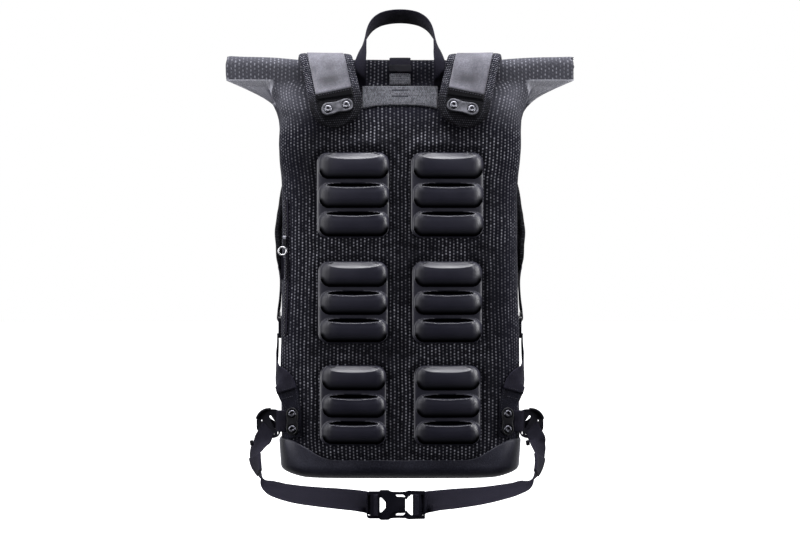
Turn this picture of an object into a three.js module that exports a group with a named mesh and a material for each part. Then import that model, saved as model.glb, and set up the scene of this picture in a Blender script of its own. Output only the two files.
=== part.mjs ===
// A roll-top cycling backpack, seen from the wearer's side: the shoulder straps are thrown over the
// rolled top and the waist belt hangs fastened below the base. Lengths are in millimetres, angles in
// degrees. +Z is up, -Y is the wearer's side, and the origin is under the top of the carry handle,
// where the bag hangs. Heights named Z below are above the base.
import * as THREE from 'three';

const gap = 0.3; // between two pieces that touch
const ease = 0.9; // between the bag and a band that is drawn over it
const strapEase = 3; // between the bag and a padded strap beside it

// Bag
const bagWidth = 286;
const bagDepth = 178;
const bodyHeight = 472; // base to the flattened mouth
const backRadius = 28; // upright edges beside the wearer
const frontRadius = 48;
const backCamber = 9;
const frontCamber = 11;
const baseRadius = 12;
const clothWall = 1.2;
const mouthSlit = 0.8;

// Rolled mouth
const rollHeight = 25;
const rollDepth = 24;
const rollSetback = 33; // back of the bag to the back of the roll
const rollTurns = 1.75;
const rollEase = 0.5; // air between two layers
const rollSmile = 5; // how far the ends of the roll stand above its middle

// Coated base
const bootWall = 1.5;
const bootEase = 0.6; // between it and the cloth inside it
const bootMiddleHeight = 20;
const bootCornerHeight = 42;

// Foam pads on the back, three rows of two
const padColumnX = 55.8;
const padBase = 2.2;
const padRelief = 8.5;
const padEndWidth = 0.88; // of a pad, where its corners are cut off
const padRows = [
  { name: 'top', centreZ: 334, width: 86, height: 101 },
  { name: 'middle', centreZ: 207, width: 83, height: 97 },
  { name: 'bottom', centreZ: 85, width: 79, height: 95 },
];

// Webbing
const webWidth = 25;
const webThick = 1.5;

// Shoulder straps
const strapWidth = 62;
const strapThick = 9;
const strapBevel = 2.7;
const strapFaceWidth = 43;
const strapFaceThick = 1.2;
const strapEndZ = 413; // lowest point of the round end on the back
const strapBackX = 76; // its middle on the back, on the roll and on the front
const strapRollX = 90;
const strapFrontX = 108;
const strapFrontZ = 350;
const strapTipZ = 244;
const strapOwnShare = 0.195; // of its length over the bag, where its even sections start
const strapPlateZ = 438;
const strapPlateTurn = 12.5;

// Two-screw plates
const plateThick = 3;
const strapPlate = { pitch: 22, lobe: 15.5, waist: 12.5 };
const cornerPlate = { pitch: 18.2, lobe: 14, waist: 13 };
const screwHead = 9.2;
const screwHeight = 3.6;
const screwSocket = 4;
const holeEase = 0.4;

// Yoke patch and closure strap
const yokeWidth = 90;
const yokeTopZ = 465;
const yokeBottomZ = 440;
const yokeDrop = 4; // how far its lower corners hang below its middle
const patchThick = 1.2;
const closureFrontZ = 360;
const sliderZ = 486;
const sliderHeight = 7.5;
const sliderThick = 2.6;
const claspZ = 402;
const claspWidth = 32;
const claspHeight = 30;
const claspThick = 5;

// Carry handle
const handleInnerX = 40.5;
const handleTopZ = 550;
const handleArchZ = 506; // where its legs end and its arch starts
const handleLean = 26.6; // the arch leans away from the wearer
const handleFootWidth = 12; // its webbing is folded double at the foot

// Lower corners
const wingInset = 16; // middle of a wing to the bag's side
const wingX = bagWidth / 2 - wingInset;
const wingZ = 66;
const wingWidth = 32;
const wingHeight = 67;
const wingTurn = 14; // a wing is turned towards its side
const wingThick = 2;
const loopWidth = 25;
const loopPly = 1.2;

// Locks of the straps and the belt
const lockThick = 3;
const lockBar = 3.6;
const lockSide = 2.6;
const lockSlot = 8;
const lockRadius = 5;
const lockWidth = 34;
const slotSpread = 0.425; // how far webbing slants through a slot, in slots
const beltLockOut = 30.5; // middle of a wing to the middle of its lock
const beltLockWidth = 30;
const beltLockHeight = 36;
const beltLockRadius = 13;
const beltLockRim = 3;
const beltLockSlot = 5;
const beltPull = -45; // the direction in which the belt leaves its lock
const beltBunch = 18; // width of the belt where it bunches in the lock
const strapLockZ = 176;
const strapLockLift = 4.2; // middle of the lock to the bag
const beltPullSlot = 7;
const beltSlotOut = 4; // middle of the lock to the middle of the slot that the belt leaves by
const beltSlotDown = 2.5;
const beltFlatRun = 12; // of the belt beside the slot that it leaves by
const keeperWall = 1;

// Side-release buckle of the belt
const buckleX = -4.7;
const buckleY = -103;
const buckleZ = -30.5;
const buckleWidth = 35;
const buckleReach = 35; // from its middle to either end
const buckleThick = 5;
const buckleRim = 2.4;
const buckleSlot = 6.5;
const slotSlope = 0.31; // how far the belt slants through it, in slots
const buckleBar = 4.5;
const buckleFrame = 2.5; // length of either half's frame before its bar, in bars
const socketHeight = 16.4;
const socketReach = 13; // from the middle of the buckle to the end of the socket
const plugArm = 4.4;

// Zip and pull on the left side
const zipShare = 0.66; // of the half girth, from the middle of the front
const zipWidth = 9;
const zipThick = 1.4;
const zipTopZ = 330;
const zipBottomZ = 168;
const zipSliderZ = 280;
const zipSliderLength = 12;
const zipSliderWidth = 7.5;
const zipSliderThick = 5; // with its bail
const pullRingRadius = 4.8;
const pullWire = 1;
const pullTabWidth = 4;
const pullTabLength = 28;
const pullTabThick = 2.4;

// How the bag's outline changes with height: shares of its height above the rounded base, of its half
// width and half depth, of its edge radii and cambers, and how far it has closed to the flat mouth.
const bodyRows = [
  { height: 0, width: 0.985, back: 0.93, front: 0.92, round: 1.0, camber: 0.7, flat: 0 },
  { height: 0.073, width: 1.0, back: 0.96, front: 0.97, round: 1.0, camber: 0.85, flat: 0 },
  { height: 0.247, width: 1.0, back: 0.99, front: 1.0, round: 1.0, camber: 1.0, flat: 0 },
  { height: 0.443, width: 0.985, back: 1.0, front: 1.0, round: 1.0, camber: 1.0, flat: 0 },
  { height: 0.618, width: 0.98, back: 0.99, front: 0.97, round: 1.0, camber: 1.0, flat: 0 },
  { height: 0.727, width: 0.985, back: 0.975, front: 0.88, round: 1.0, camber: 0.95, flat: 0 },
  { height: 0.814, width: 1.01, back: 0.95, front: 0.7, round: 0.95, camber: 0.8, flat: 0 },
  { height: 0.887, width: 1.005, back: 0.91, front: 0.42, round: 0.9, camber: 0.6, flat: 0 },
  { height: 0.943, width: 1.03, back: 0.83, front: 0.02, round: 0.8, camber: 0.4, flat: 0.02 },
  { height: 0.969, width: 1.04, back: 0.76, front: -0.18, round: 0.7, camber: 0.25, flat: 0.42 },
  { height: 0.987, width: 1.04, back: 0.7, front: -0.36, round: 0.6, camber: 0.12, flat: 0.76 },
  { height: 1.0, width: 1.04, back: 0.64, front: -0.5, round: 0.5, camber: 0, flat: 1 },
];

// Stations from the middle of the back round one side to the middle of the front.
const stations = [
  { zone: 'backFace', t: 0 }, { zone: 'backFace', t: 0.25 }, { zone: 'backFace', t: 0.5 },
  { zone: 'backFace', t: 0.75 }, { zone: 'backFace', t: 1 }, { zone: 'backCorner', t: 1 / 3 },
  { zone: 'backCorner', t: 2 / 3 }, { zone: 'backCorner', t: 1 }, { zone: 'fold', t: 0.5 },
  { zone: 'frontCorner', t: 1 }, { zone: 'frontCorner', t: 2 / 3 }, { zone: 'frontCorner', t: 1 / 3 },
  { zone: 'frontFace', t: 1 }, { zone: 'frontFace', t: 2 / 3 }, { zone: 'frontFace', t: 1 / 3 },
  { zone: 'frontFace', t: 0 },
];

// A shoulder strap from its round end on the back, over the roll to the front: shares of that length
// and of its width, and its route, 0 on the back, 1 on the roll and 2 on the front.
const strapRows = [
  { share: 0, width: 0.55, route: 0 }, { share: 0.012, width: 0.78, route: 0 },
  { share: 0.03, width: 0.93, route: 0 }, { share: 0.06, width: 1, route: 0 },
  { share: 0.12, width: 1, route: 0.08 }, { share: 0.16, width: 1, route: 0.25 },
  { share: 0.33, width: 1, route: 1 }, { share: 0.5, width: 1, route: 1.3 },
  { share: 1, width: 1, route: 2 },
];

// The strap's lower end, from the front down round the corner of the bag to its tip: shares of the
// drop, of the half girth from the middle of the front, and of the strap's width.
const strapTipRows = [
  { drop: 0, share: 0.297, width: 1 }, { drop: 0.25, share: 0.316, width: 1 },
  { drop: 0.5, share: 0.342, width: 0.97 }, { drop: 0.75, share: 0.373, width: 0.85 },
  { drop: 0.94, share: 0.4, width: 0.72 }, { drop: 1, share: 0.41, width: 0.45 },
];

// Webbing from the strap's tip down to its lock, and from the lock to the lower corner.
const tailRows = [{ drop: 0.35, share: 0.455 }, { drop: 0.75, share: 0.492 }];
const webRows = [
  { drop: 0.3, share: 0.535, lift: 1.0 }, { drop: 0.5, share: 0.58, lift: 1.0 },
  { drop: 0.7, share: 0.622, lift: 1.1 }, { drop: 0.86, share: 0.648, lift: 1.3 },
];

// The belt from the lock on a corner to the buckle: shares of the way inwards, forwards and down, and
// the turn of its face, 90 across the lock, 0 edge-on to the wearer and -90 across the buckle, and how
// far it is bunched.
const beltRows = [
  { inward: -0.005, forward: 0.15, down: 0.1, turn: 80, bunch: 0.5 },
  { inward: -0.015, forward: 0.22, down: 0.165, turn: 66, bunch: 0 },
  { inward: -0.025, forward: 0.32, down: 0.28, turn: 44, bunch: 0 },
  { inward: -0.025, forward: 0.4, down: 0.375, turn: 31, bunch: 0 },
  { inward: -0.012, forward: 0.47, down: 0.47, turn: 25, bunch: 0 },
  { inward: 0, forward: 0.54, down: 0.55, turn: 20, bunch: 0 },
  { inward: 0.015, forward: 0.6, down: 0.62, turn: 9, bunch: 0 },
  { inward: 0.045, forward: 0.68, down: 0.69, turn: -12, bunch: 0 },
  { inward: 0.14, forward: 0.8, down: 0.785, turn: -36, bunch: 0 },
  { inward: 0.28, forward: 0.9, down: 0.845, turn: -54, bunch: 0 },
  { inward: 0.5, forward: 0.95, down: 0.895, turn: -72, bunch: 0 },
  { inward: 0.74, forward: 0.98, down: 0.935, turn: -86, bunch: 0 },
];
const keeperRows = [3, 4, 5]; // the rows that the belt's keeper sits on

// A leg of the carry handle: shares of its height, its turn from face-on to edge-on, and how far its
// webbing is folded double.
const handleRows = [
  { rise: 0, turn: 0, fold: 1 }, { rise: 0.3, turn: 5, fold: 1 }, { rise: 0.6, turn: 35, fold: 0.8 },
  { rise: 0.85, turn: 65, fold: 0.35 }, { rise: 1, turn: 90, fold: 0 },
];

// The outline of a corner wing: shares of its half width and half height.
const wingOutline = [
  [-0.64, -0.53], [0.69, -0.63], [0.69, 0.46], [1.36, 1.13], [-0.27, 1.37], [-0.56, 0.6],
];
const wingTopEdge = [3, 4]; // the two corners that the strap's webbing meets

// The cushions of a foam pad: shares of its width and height, and how far they swell.
const padColumns = [
  { at: 0, swell: 0 }, { at: 0.08, swell: 0.72 }, { at: 0.27, swell: 1 },
  { at: 0.73, swell: 1 }, { at: 0.92, swell: 0.72 }, { at: 1, swell: 0 },
];
const cushionRows = [
  { at: 0.06, swell: 0 }, { at: 0.2, swell: 0.78 }, { at: 0.5, swell: 1 }, { at: 0.8, swell: 0.7 },
];
const cushions = 3;

const materials = {
  dottedCloth: { color: 0x34343c, roughness: 0.8 },
  coatedCloth: { color: 0x1d1c26, roughness: 0.45 },
  foam: { color: 0x24242c, roughness: 0.42 },
  spacerMesh: { color: 0x1b1b20, roughness: 0.95 },
  strapCloth: { color: 0x77767f, roughness: 0.7 },
  yokeCloth: { color: 0x67686e, roughness: 0.85 },
  webbing: { color: 0x26252d, roughness: 0.8 },
  plastic: { color: 0x17161d, roughness: 0.4 },
  plateMetal: { color: 0x4c4c54, roughness: 0.4, metalness: 0.6 },
  steel: { color: 0xb9b9be, roughness: 0.25, metalness: 1.0 },
};

// Places that follow from the sizes above
const seatZ = bootWall + bootEase; // underside of the bag's cloth inside the boot
const wallFoot = seatZ + baseRadius;
const mouthThick = 2 * clothWall + mouthSlit;
const rollBackY = rollSetback - bagDepth / 2;
const rollY = rollBackY + rollDepth / 2;
const rollZ = bodyHeight + gap + rollHeight / 2;
const mouthY = rollBackY + mouthThick / 2;

const { clamp, lerp, degToRad } = THREE.MathUtils;
const evenShares = (count) => Array.from({ length: count + 1 }, (_, i) => i / count);
const vec = (x, y, z) => new THREE.Vector3(x, y, z);

// A value read from a table at a given place, straight between its rows.
function readTable(rows, key, place, column) {
  let k = 1;
  while (k < rows.length - 1 && rows[k][key] < place) k += 1;
  const [low, high] = [rows[k - 1], rows[k]];
  const t = clamp((place - low[key]) / (high[key] - low[key]), 0, 1);
  return lerp(low[column], high[column], t);
}

function piece(name, geometry, finish) {
  const mesh = new THREE.Mesh(geometry, new THREE.MeshStandardMaterial(materials[finish]));
  mesh.name = name;
  return mesh;
}

// Closed surfaces from rings and grids of points

// A closed surface from points and triangles, turned so that its faces point outwards.
function closedGeometry(points, triangles) {
  let volume = 0;
  for (const [a, b, c] of triangles) volume += points[a].dot(points[b].clone().cross(points[c]));
  const index = triangles.flatMap(([a, b, c]) => (volume < 0 ? [a, c, b] : [a, b, c]));
  const geometry = new THREE.BufferGeometry().setFromPoints(points).setIndex(index);
  geometry.computeVertexNormals();
  return geometry;
}

// Triangles between two rings. A side in otherWay is cut along its other diagonal, so that the two
// faces of a thin band are cut alike and stay as far apart where the band twists.
function bandBetween(triangles, startA, startB, count, otherWay = []) {
  for (let i = 0; i < count; i += 1) {
    const j = (i + 1) % count;
    const [a, b, c, d] = [startA + i, startA + j, startB + j, startB + i];
    if (otherWay.includes(i)) triangles.push([a, b, d], [b, c, d]);
    else triangles.push([a, b, c], [a, c, d]);
  }
}

function capRing(points, triangles, start, count, flip) {
  const middle = vec(0, 0, 0);
  for (let i = 0; i < count; i += 1) middle.addScaledVector(points[start + i], 1 / count);
  const centre = points.push(middle) - 1;
  for (let i = 0; i < count; i += 1) {
    const j = (i + 1) % count;
    triangles.push(flip ? [centre, start + j, start + i] : [centre, start + i, start + j]);
  }
}

// A solid skinned through rings that all have the same number of points.
function loftSolid(rings, otherWay) {
  const count = rings[0].length;
  const points = rings.flat();
  const triangles = [];
  for (let k = 0; k < rings.length - 1; k += 1) {
    bandBetween(triangles, k * count, (k + 1) * count, count, otherWay);
  }
  capRing(points, triangles, 0, count, true);
  capRing(points, triangles, (rings.length - 1) * count, count, false);
  return closedGeometry(points, triangles);
}

// A wall between an outer and an inner skin, open at its last ring and also at its first unless closed.
function loftWall(outer, inner, closedStart) {
  const count = outer[0].length;
  const points = [...outer.flat(), ...inner.flat()];
  const innerStart = outer.length * count;
  const triangles = [];
  for (let k = 0; k < outer.length - 1; k += 1) {
    bandBetween(triangles, k * count, (k + 1) * count, count);
  }
  for (let k = 0; k < inner.length - 1; k += 1) {
    bandBetween(triangles, innerStart + (k + 1) * count, innerStart + k * count, count);
  }
  const lastInner = innerStart + (inner.length - 1) * count;
  bandBetween(triangles, (outer.length - 1) * count, lastInner, count);
  if (closedStart) {
    capRing(points, triangles, 0, count, true);
    capRing(points, triangles, innerStart, count, false);
  } else {
    bandBetween(triangles, innerStart, 0, count);
  }
  return closedGeometry(points, triangles);
}

// A solid between two matching grids of points, given as rows.
function gridSolid(under, over) {
  const [tall, wide] = [under.length, under[0].length];
  const points = [...under.flat(), ...over.flat()];
  const lift = wide * tall;
  const at = (c, r) => r * wide + c;
  const triangles = [];
  for (let r = 0; r < tall - 1; r += 1) {
    for (let c = 0; c < wide - 1; c += 1) {
      const [a, b, d, e] = [at(c, r), at(c + 1, r), at(c + 1, r + 1), at(c, r + 1)];
      triangles.push([a, d, b], [a, e, d]);
      triangles.push([lift + a, lift + b, lift + d], [lift + a, lift + d, lift + e]);
    }
  }
  const rim = [];
  for (let c = 0; c < wide - 1; c += 1) rim.push(at(c, 0));
  for (let r = 0; r < tall - 1; r += 1) rim.push(at(wide - 1, r));
  for (let c = wide - 1; c > 0; c -= 1) rim.push(at(c, tall - 1));
  for (let r = tall - 1; r > 0; r -= 1) rim.push(at(0, r));
  rim.forEach((a, i) => {
    const b = rim[(i + 1) % rim.length];
    triangles.push([a, b, lift + b], [a, lift + b, lift + a]);
  });
  return closedGeometry(points, triangles);
}

// Flat shapes in x and z

// A shape thickened along y about the middle plane.
function slab(shape, thickness, sides = 4) {
  const geometry = new THREE.ExtrudeGeometry(shape, {
    depth: thickness, bevelEnabled: false, curveSegments: sides,
  });
  geometry.translate(0, 0, -thickness / 2);
  geometry.rotateX(Math.PI / 2);
  return geometry;
}

function roundedBox(width, height, radius) {
  const [w, h] = [width / 2, height / 2];
  const shape = new THREE.Shape();
  shape.absarc(w - radius, -h + radius, radius, -Math.PI / 2, 0);
  shape.absarc(w - radius, h - radius, radius, 0, Math.PI / 2);
  shape.absarc(-w + radius, h - radius, radius, Math.PI / 2, Math.PI);
  shape.absarc(-w + radius, -h + radius, radius, Math.PI, 1.5 * Math.PI);
  return shape;
}

const polygon = (points) => new THREE.Shape(points.map(([x, z]) => new THREE.Vector2(x, z)));
const mirrorInZ = (points) => [...points, ...[...points].reverse().map(([x, z]) => [x, -z])];

function boxHole(x, z, width, height) {
  const [w, h] = [width / 2, height / 2];
  return polygon([[x - w, z - h], [x + w, z - h], [x + w, z + h], [x - w, z + h]]);
}

function roundHole(x, z, radius) {
  const hole = new THREE.Path();
  hole.absarc(x, z, radius, 0, 2 * Math.PI, true);
  return hole;
}

// The bag's outline

// Absolute sizes of the outline at a height.
function rowAt(z) {
  const place = (z - wallFoot) / (bodyHeight - wallFoot);
  const read = (column) => readTable(bodyRows, 'height', place, column);
  return {
    halfWidth: (bagWidth / 2) * read('width'),
    backY: backCamber * read('camber') - (bagDepth / 2) * read('back'),
    frontY: (bagDepth / 2) * read('front') - frontCamber * read('camber'),
    backRadius: backRadius * read('round'),
    frontRadius: frontRadius * read('round'),
    backCamber: backCamber * read('camber'),
    frontCamber: frontCamber * read('camber'),
    flat: read('flat'),
  };
}

const bodyLevels = bodyRows.map((r) => lerp(wallFoot, bodyHeight, r.height));

// One station of the full outline on the side where x is positive, before it is closed to the mouth.
function fullPoint({ zone, t }, row, outset) {
  const depth = row.frontY - row.backY;
  const shrink = Math.min(1, (0.96 * depth) / (row.backRadius + row.frontRadius));
  const rb = row.backRadius * shrink + outset;
  const rf = row.frontRadius * shrink + outset;
  const wide = row.halfWidth + outset;
  const [yb, yf] = [row.backY - outset, row.frontY + outset];
  const turn = (t * Math.PI) / 2;
  if (zone === 'backFace') return [t * (wide - rb), yb - row.backCamber * (1 - t * t)];
  if (zone === 'backCorner') {
    return [wide - rb + rb * Math.sin(turn), yb + rb - rb * Math.cos(turn)];
  }
  if (zone === 'fold') return [wide, (yb + rb + yf - rf) / 2];
  if (zone === 'frontCorner') {
    return [wide - rf + rf * Math.sin(turn), yf - rf + rf * Math.cos(turn)];
  }
  return [t * (wide - rf), yf + row.frontCamber * (1 - t * t)];
}

// Lengths along a line of points, from its first point to each.
function runsOf(line) {
  const runs = [0];
  for (let i = 1; i < line.length; i += 1) runs.push(runs[i - 1] + line[i].distanceTo(line[i - 1]));
  return runs;
}

function pointAlong(line, runs, ask) {
  let k = 1;
  while (k < line.length - 1 && runs[k] < ask) k += 1;
  return line[k - 1].clone().lerp(line[k], (ask - runs[k - 1]) / (runs[k] - runs[k - 1]));
}

// The cloth's run round the fullest part of the bag. The flat mouth keeps these runs.
const fullRow = rowAt(bodyLevels[3]);
const fullRuns = runsOf(stations.map((s) => new THREE.Vector2(...fullPoint(s, fullRow, 0))));
const halfGirth = fullRuns[fullRuns.length - 1];
const foldIndex = stations.findIndex((s) => s.zone === 'fold');
const mouthHalf = halfGirth / 2;

// One station of the outline, closed towards the flat mouth by the row's share.
function stationPoint(index, row, outset) {
  const full = fullPoint(stations[index], row, outset);
  if (row.flat === 0) return full;
  const back = index <= foldIndex;
  const run = back ? fullRuns[index] / fullRuns[foldIndex]
    : (halfGirth - fullRuns[index]) / (halfGirth - fullRuns[foldIndex]);
  const lift = index === foldIndex ? 0 : mouthThick / 2 + outset;
  const flatY = mouthY + (back ? -lift : lift);
  return [lerp(full[0], run * (mouthHalf + outset), row.flat), lerp(full[1], flatY, row.flat)];
}

const halfOutline = (row, outset) => stations.map((_, i) => stationPoint(i, row, outset));

// The whole outline: the stations of one side, then their mirror images back to the start.
function ringAt(z, row, outset) {
  const side = halfOutline(row, outset);
  const mirrored = side.slice(1, -1).reverse().map(([x, y]) => [-x, y]);
  return [...side, ...mirrored].map(([x, y]) => vec(x, y, z));
}

// Rings of the rounded lower edge, for a skin that lies outset from the cloth.
function baseRings(outset) {
  return [0, 45, 90].map((angle) => {
    const radius = baseRadius + outset;
    const inset = radius * Math.sin(degToRad(angle)) - baseRadius;
    return ringAt(wallFoot - radius * Math.cos(degToRad(angle)), rowAt(wallFoot), inset);
  });
}

// y of the cloth's outer face at a place on the back or the front.
function skinY(x, z, face) {
  const line = halfOutline(rowAt(z), 0);
  const half = face === 'back' ? line.slice(0, foldIndex + 1) : line.slice(foldIndex).reverse();
  for (let i = 1; i < half.length; i += 1) {
    const [a, b] = [half[i - 1], half[i]];
    if (Math.abs(x) <= b[0]) {
      return lerp(a[1], b[1], (Math.abs(x) - a[0]) / Math.max(b[0] - a[0], 1e-6));
    }
  }
  return half[half.length - 1][1];
}

// How far the cambered back stands out between two points that are so far apart.
function backBulge(span) {
  const flat = bagWidth / 2 - backRadius;
  return backCamber * (span / 2 / flat) ** 2;
}

// A place beside the bag, where x is positive: a height, a share of the half girth from the middle of
// the front, and how far it stands off the cloth.
function beside(z, share, standOff) {
  const line = halfOutline(rowAt(z), 0).map(([x, y]) => new THREE.Vector2(x, y)).reverse();
  const runs = runsOf(line);
  const total = runs[runs.length - 1];
  const reach = webWidth / 2; // the facing is averaged over a webbing's width
  const ahead = pointAlong(line, runs, share * total + reach);
  const along = ahead.sub(pointAlong(line, runs, share * total - reach)).normalize();
  const facing = vec(-along.y, along.x, 0);
  const spot = pointAlong(line, runs, share * total);
  return { point: vec(spot.x, spot.y, z).addScaledVector(facing, standOff), facing };
}

// The heights at which a band beside the bag changes, from high to low, with the bag's own among them.
function levelsBetween(high, low, shares) {
  const own = shares.map((s) => lerp(high, low, s));
  const near = (z) => own.some((o) => Math.abs(o - z) < webThick);
  const body = bodyLevels.filter((z) => z < high && z > low && !near(z));
  return [...own, ...body].sort((a, b) => b - a);
}

// Bands: straps and webbing

// Sections square across a band whose outer faces look along the facings. The first may be cut along
// another line, where the band meets a piece that is cut so.
function facedSections(path, facings, size, firstAcross) {
  return path.map((point, k) => {
    const before = path[Math.max(k - 1, 0)];
    const after = path[Math.min(k + 1, path.length - 1)];
    const run = after.clone().sub(before).normalize();
    const across = k === 0 && firstAcross ? firstAcross : run.clone().cross(facings[k]).normalize();
    return { point, across, normal: across.clone().cross(run).normalize(), ...size };
  });
}

// Level sections through a strap beside the bag.
function levelSections(places) {
  return places.map(({ point, facing, width, thick }, k) => {
    const before = places[Math.max(k - 1, 0)].point;
    const run = places[Math.min(k + 1, places.length - 1)].point.clone().sub(before).normalize();
    const across = vec(facing.y, -facing.x, 0);
    return { point, across, normal: across.clone().cross(run).normalize(), width, thick };
  });
}

// A section moved out until it clears the cloth at its height.
function cleared(section) {
  const { point, across, normal, width, thick } = section;
  if (point.z > bodyHeight) return section;
  const ring = ringAt(point.z, rowAt(point.z), 0);
  let lift = 0;
  ring.forEach((corner, i) => {
    for (const t of [0, 0.25, 0.5, 0.75]) {
      const away = corner.clone().lerp(ring[(i + 1) % ring.length], t).sub(point);
      const under = Math.abs(away.dot(across)) < width / 2 + strapEase;
      if (under) lift = Math.max(lift, away.dot(normal) + thick / 2 + strapEase);
    }
  });
  return { ...section, point: point.clone().addScaledVector(normal, lift) };
}

// Sections across a band that twists: at turn 0 it is edge-on to what the depths look along.
function turnedSections(path, depths, turns, bunches) {
  return path.map((point, k) => {
    const before = path[Math.max(k - 1, 0)];
    const after = path[Math.min(k + 1, path.length - 1)];
    const run = after.clone().sub(before).normalize();
    const deep = depths[k].clone().addScaledVector(run, -depths[k].dot(run)).normalize();
    const side = run.clone().cross(deep);
    const angle = degToRad(turns[k]);
    const across = deep.multiplyScalar(Math.cos(angle)).addScaledVector(side, Math.sin(angle));
    const width = lerp(webWidth, beltBunch, bunches[k]);
    return { point, across, normal: across.clone().cross(run), width, thick: webThick };
  });
}

const ringOf = ({ point, across, normal }, profile) => profile.map(([a, n]) => (
  point.clone().addScaledVector(across, a).addScaledVector(normal, n)));

const bandOuter = 2; // the side of a four-sided ring that faces out

// A band of webbing, with square edges.
function bandSolid(sections) {
  return loftSolid(sections.map((section) => {
    const [w, t] = [section.width / 2, section.thick / 2];
    return ringOf(section, [[w, -t], [-w, -t], [-w, t], [w, t]]);
  }), [bandOuter]);
}

// A padded strap with bevelled edges, and the facing that lies on its outer side.
const bevelRun = 1.6 * strapBevel;
const faceHalf = (section) => Math.min(strapFaceWidth, section.width - 2 * bevelRun) / 2;

function paddedSolid(sections) {
  return loftSolid(sections.map((section) => {
    const [w, t, f] = [section.width / 2, section.thick / 2, faceHalf(section)];
    return ringOf(section, [
      [-w, strapBevel - t], [bevelRun - w, -t], [w - bevelRun, -t], [w, strapBevel - t],
      [w, t - strapBevel], [f, t], [-f, t], [-w, t - strapBevel],
    ]);
  }));
}

function facingSolid(sections) {
  return loftSolid(sections.map((section) => {
    const [low, f] = [section.thick / 2 + gap, faceHalf(section)];
    const high = low + strapFaceThick;
    return ringOf(section, [[f, low], [-f, low], [-f, high], [f, high]]);
  }), [bandOuter]);
}

// The place on a band where its middle passes a height, on the back or on the front.
function bandPlace(sections, z, face) {
  const climbs = face === 'back' ? 1 : -1;
  let k = sections.findIndex((s, i) => i > 0
    && climbs * (s.point.z - z) >= 0 && climbs * (z - sections[i - 1].point.z) > 0);
  k = Math.max(k, 1);
  const [a, b] = [sections[k - 1], sections[k]];
  const t = clamp((z - a.point.z) / (b.point.z - a.point.z), 0, 1);
  const run = b.point.clone().sub(a.point).normalize();
  const across = a.across.clone().lerp(b.across, t);
  across.addScaledVector(run, -across.dot(run)).normalize();
  const point = a.point.clone().lerp(b.point, t);
  return { ...a, point, across, normal: across.clone().cross(run) };
}

// A group placed off a band's outer face: its x across the band, its -y away from the bag.
function groupOff(place, standOff) {
  const group = new THREE.Group();
  const inward = place.normal.clone().negate();
  const up = place.across.clone().cross(inward);
  const point = place.point.clone().addScaledVector(place.normal, place.thick / 2 + standOff);
  group.applyMatrix4(new THREE.Matrix4().makeBasis(place.across, inward, up).setPosition(point));
  return group;
}

// Points of a line drawn tight over a shape: those that turn inwards are left out.
function tighten(points) {
  const kept = [];
  for (const p of points) {
    while (kept.length > 1) {
      const [a, b] = kept.slice(-2);
      if ((b.x - a.x) * (p.y - b.y) - (b.y - a.y) * (p.x - b.x) < 0) break;
      kept.pop();
    }
    kept.push(p);
  }
  return kept;
}

// The line over the bag at one x, from a height on the back over the roll to one on the front, drawn
// tight, moved out by lift and read at shares of its length.
function overLine(x, backZ, frontZ, lift, shares) {
  const steps = 12;
  const smile = rollSmile * (x / mouthHalf) ** 2;
  const even = evenShares(steps);
  const raw = [];
  const rising = levelsBetween(bodyHeight, backZ, even).reverse();
  rising.forEach((z) => raw.push(new THREE.Vector2(skinY(x, z, 'back'), z)));
  even.forEach((share) => raw.push(new THREE.Vector2(
    rollY - (rollDepth / 2) * Math.cos(Math.PI * share),
    rollZ + smile + (rollHeight / 2) * Math.sin(Math.PI * share))));
  const falling = levelsBetween(bodyHeight, frontZ, even);
  falling.forEach((z) => raw.push(new THREE.Vector2(skinY(x, z, 'front'), z)));
  const tight = tighten(raw);
  const moved = tight.map((p, i) => {
    const ahead = tight[Math.min(i + 1, tight.length - 1)];
    const run = ahead.clone().sub(tight[Math.max(i - 1, 0)]).normalize();
    return p.clone().add(new THREE.Vector2(-run.y, run.x).multiplyScalar(lift));
  });
  const runs = runsOf(moved);
  const total = runs[runs.length - 1];
  return shares.map((share) => {
    const p = pointAlong(moved, runs, share * total);
    return vec(x, p.x, p.y);
  });
}

// Sections of a band drawn over the bag. Its edges follow their own lines, so it lies on the camber,
// and its middle is lifted over what bulges between them.
function overSections({ backZ, frontZ, shares, middleX, width, thick }) {
  const lift = ease + thick / 2;
  const path = shares.map((share, n) => {
    const [x, half] = [middleX(share), width(share) / 2];
    const lines = [x - half, x, x + half].map((at) => overLine(at, backZ, frontZ, lift, shares)[n]);
    return { low: lines[0], middle: lines[1], high: lines[2], width: 2 * half };
  });
  return path.map(({ low, middle, high, width: wide }, n) => {
    const before = path[Math.max(n - 1, 0)].middle;
    const run = path[Math.min(n + 1, path.length - 1)].middle.clone().sub(before).normalize();
    const chord = high.clone().sub(low);
    const across = chord.addScaledVector(run, -chord.dot(run)).normalize();
    const normal = across.clone().cross(run);
    const point = low.clone().add(high).multiplyScalar(0.5);
    point.addScaledVector(normal, Math.max(0, middle.clone().sub(point).dot(normal)));
    return { point, across, normal, width: wide, thick };
  });
}

// Webbing through a slot: where it lies along the slot's width and how far off the middle plane.
function slotPass(thick, slot) {
  const off = thick / 2 + gap + webThick / 2;
  return [[-slotSpread * slot, off], [slotSpread * slot, -off]];
}

// Bag

function bagShell() {
  const skin = (outset) => [
    ...baseRings(outset), ...bodyLevels.slice(1).map((z) => ringAt(z, rowAt(z), outset)),
  ];
  return loftWall(skin(0), skin(-clothWall), true);
}

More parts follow.
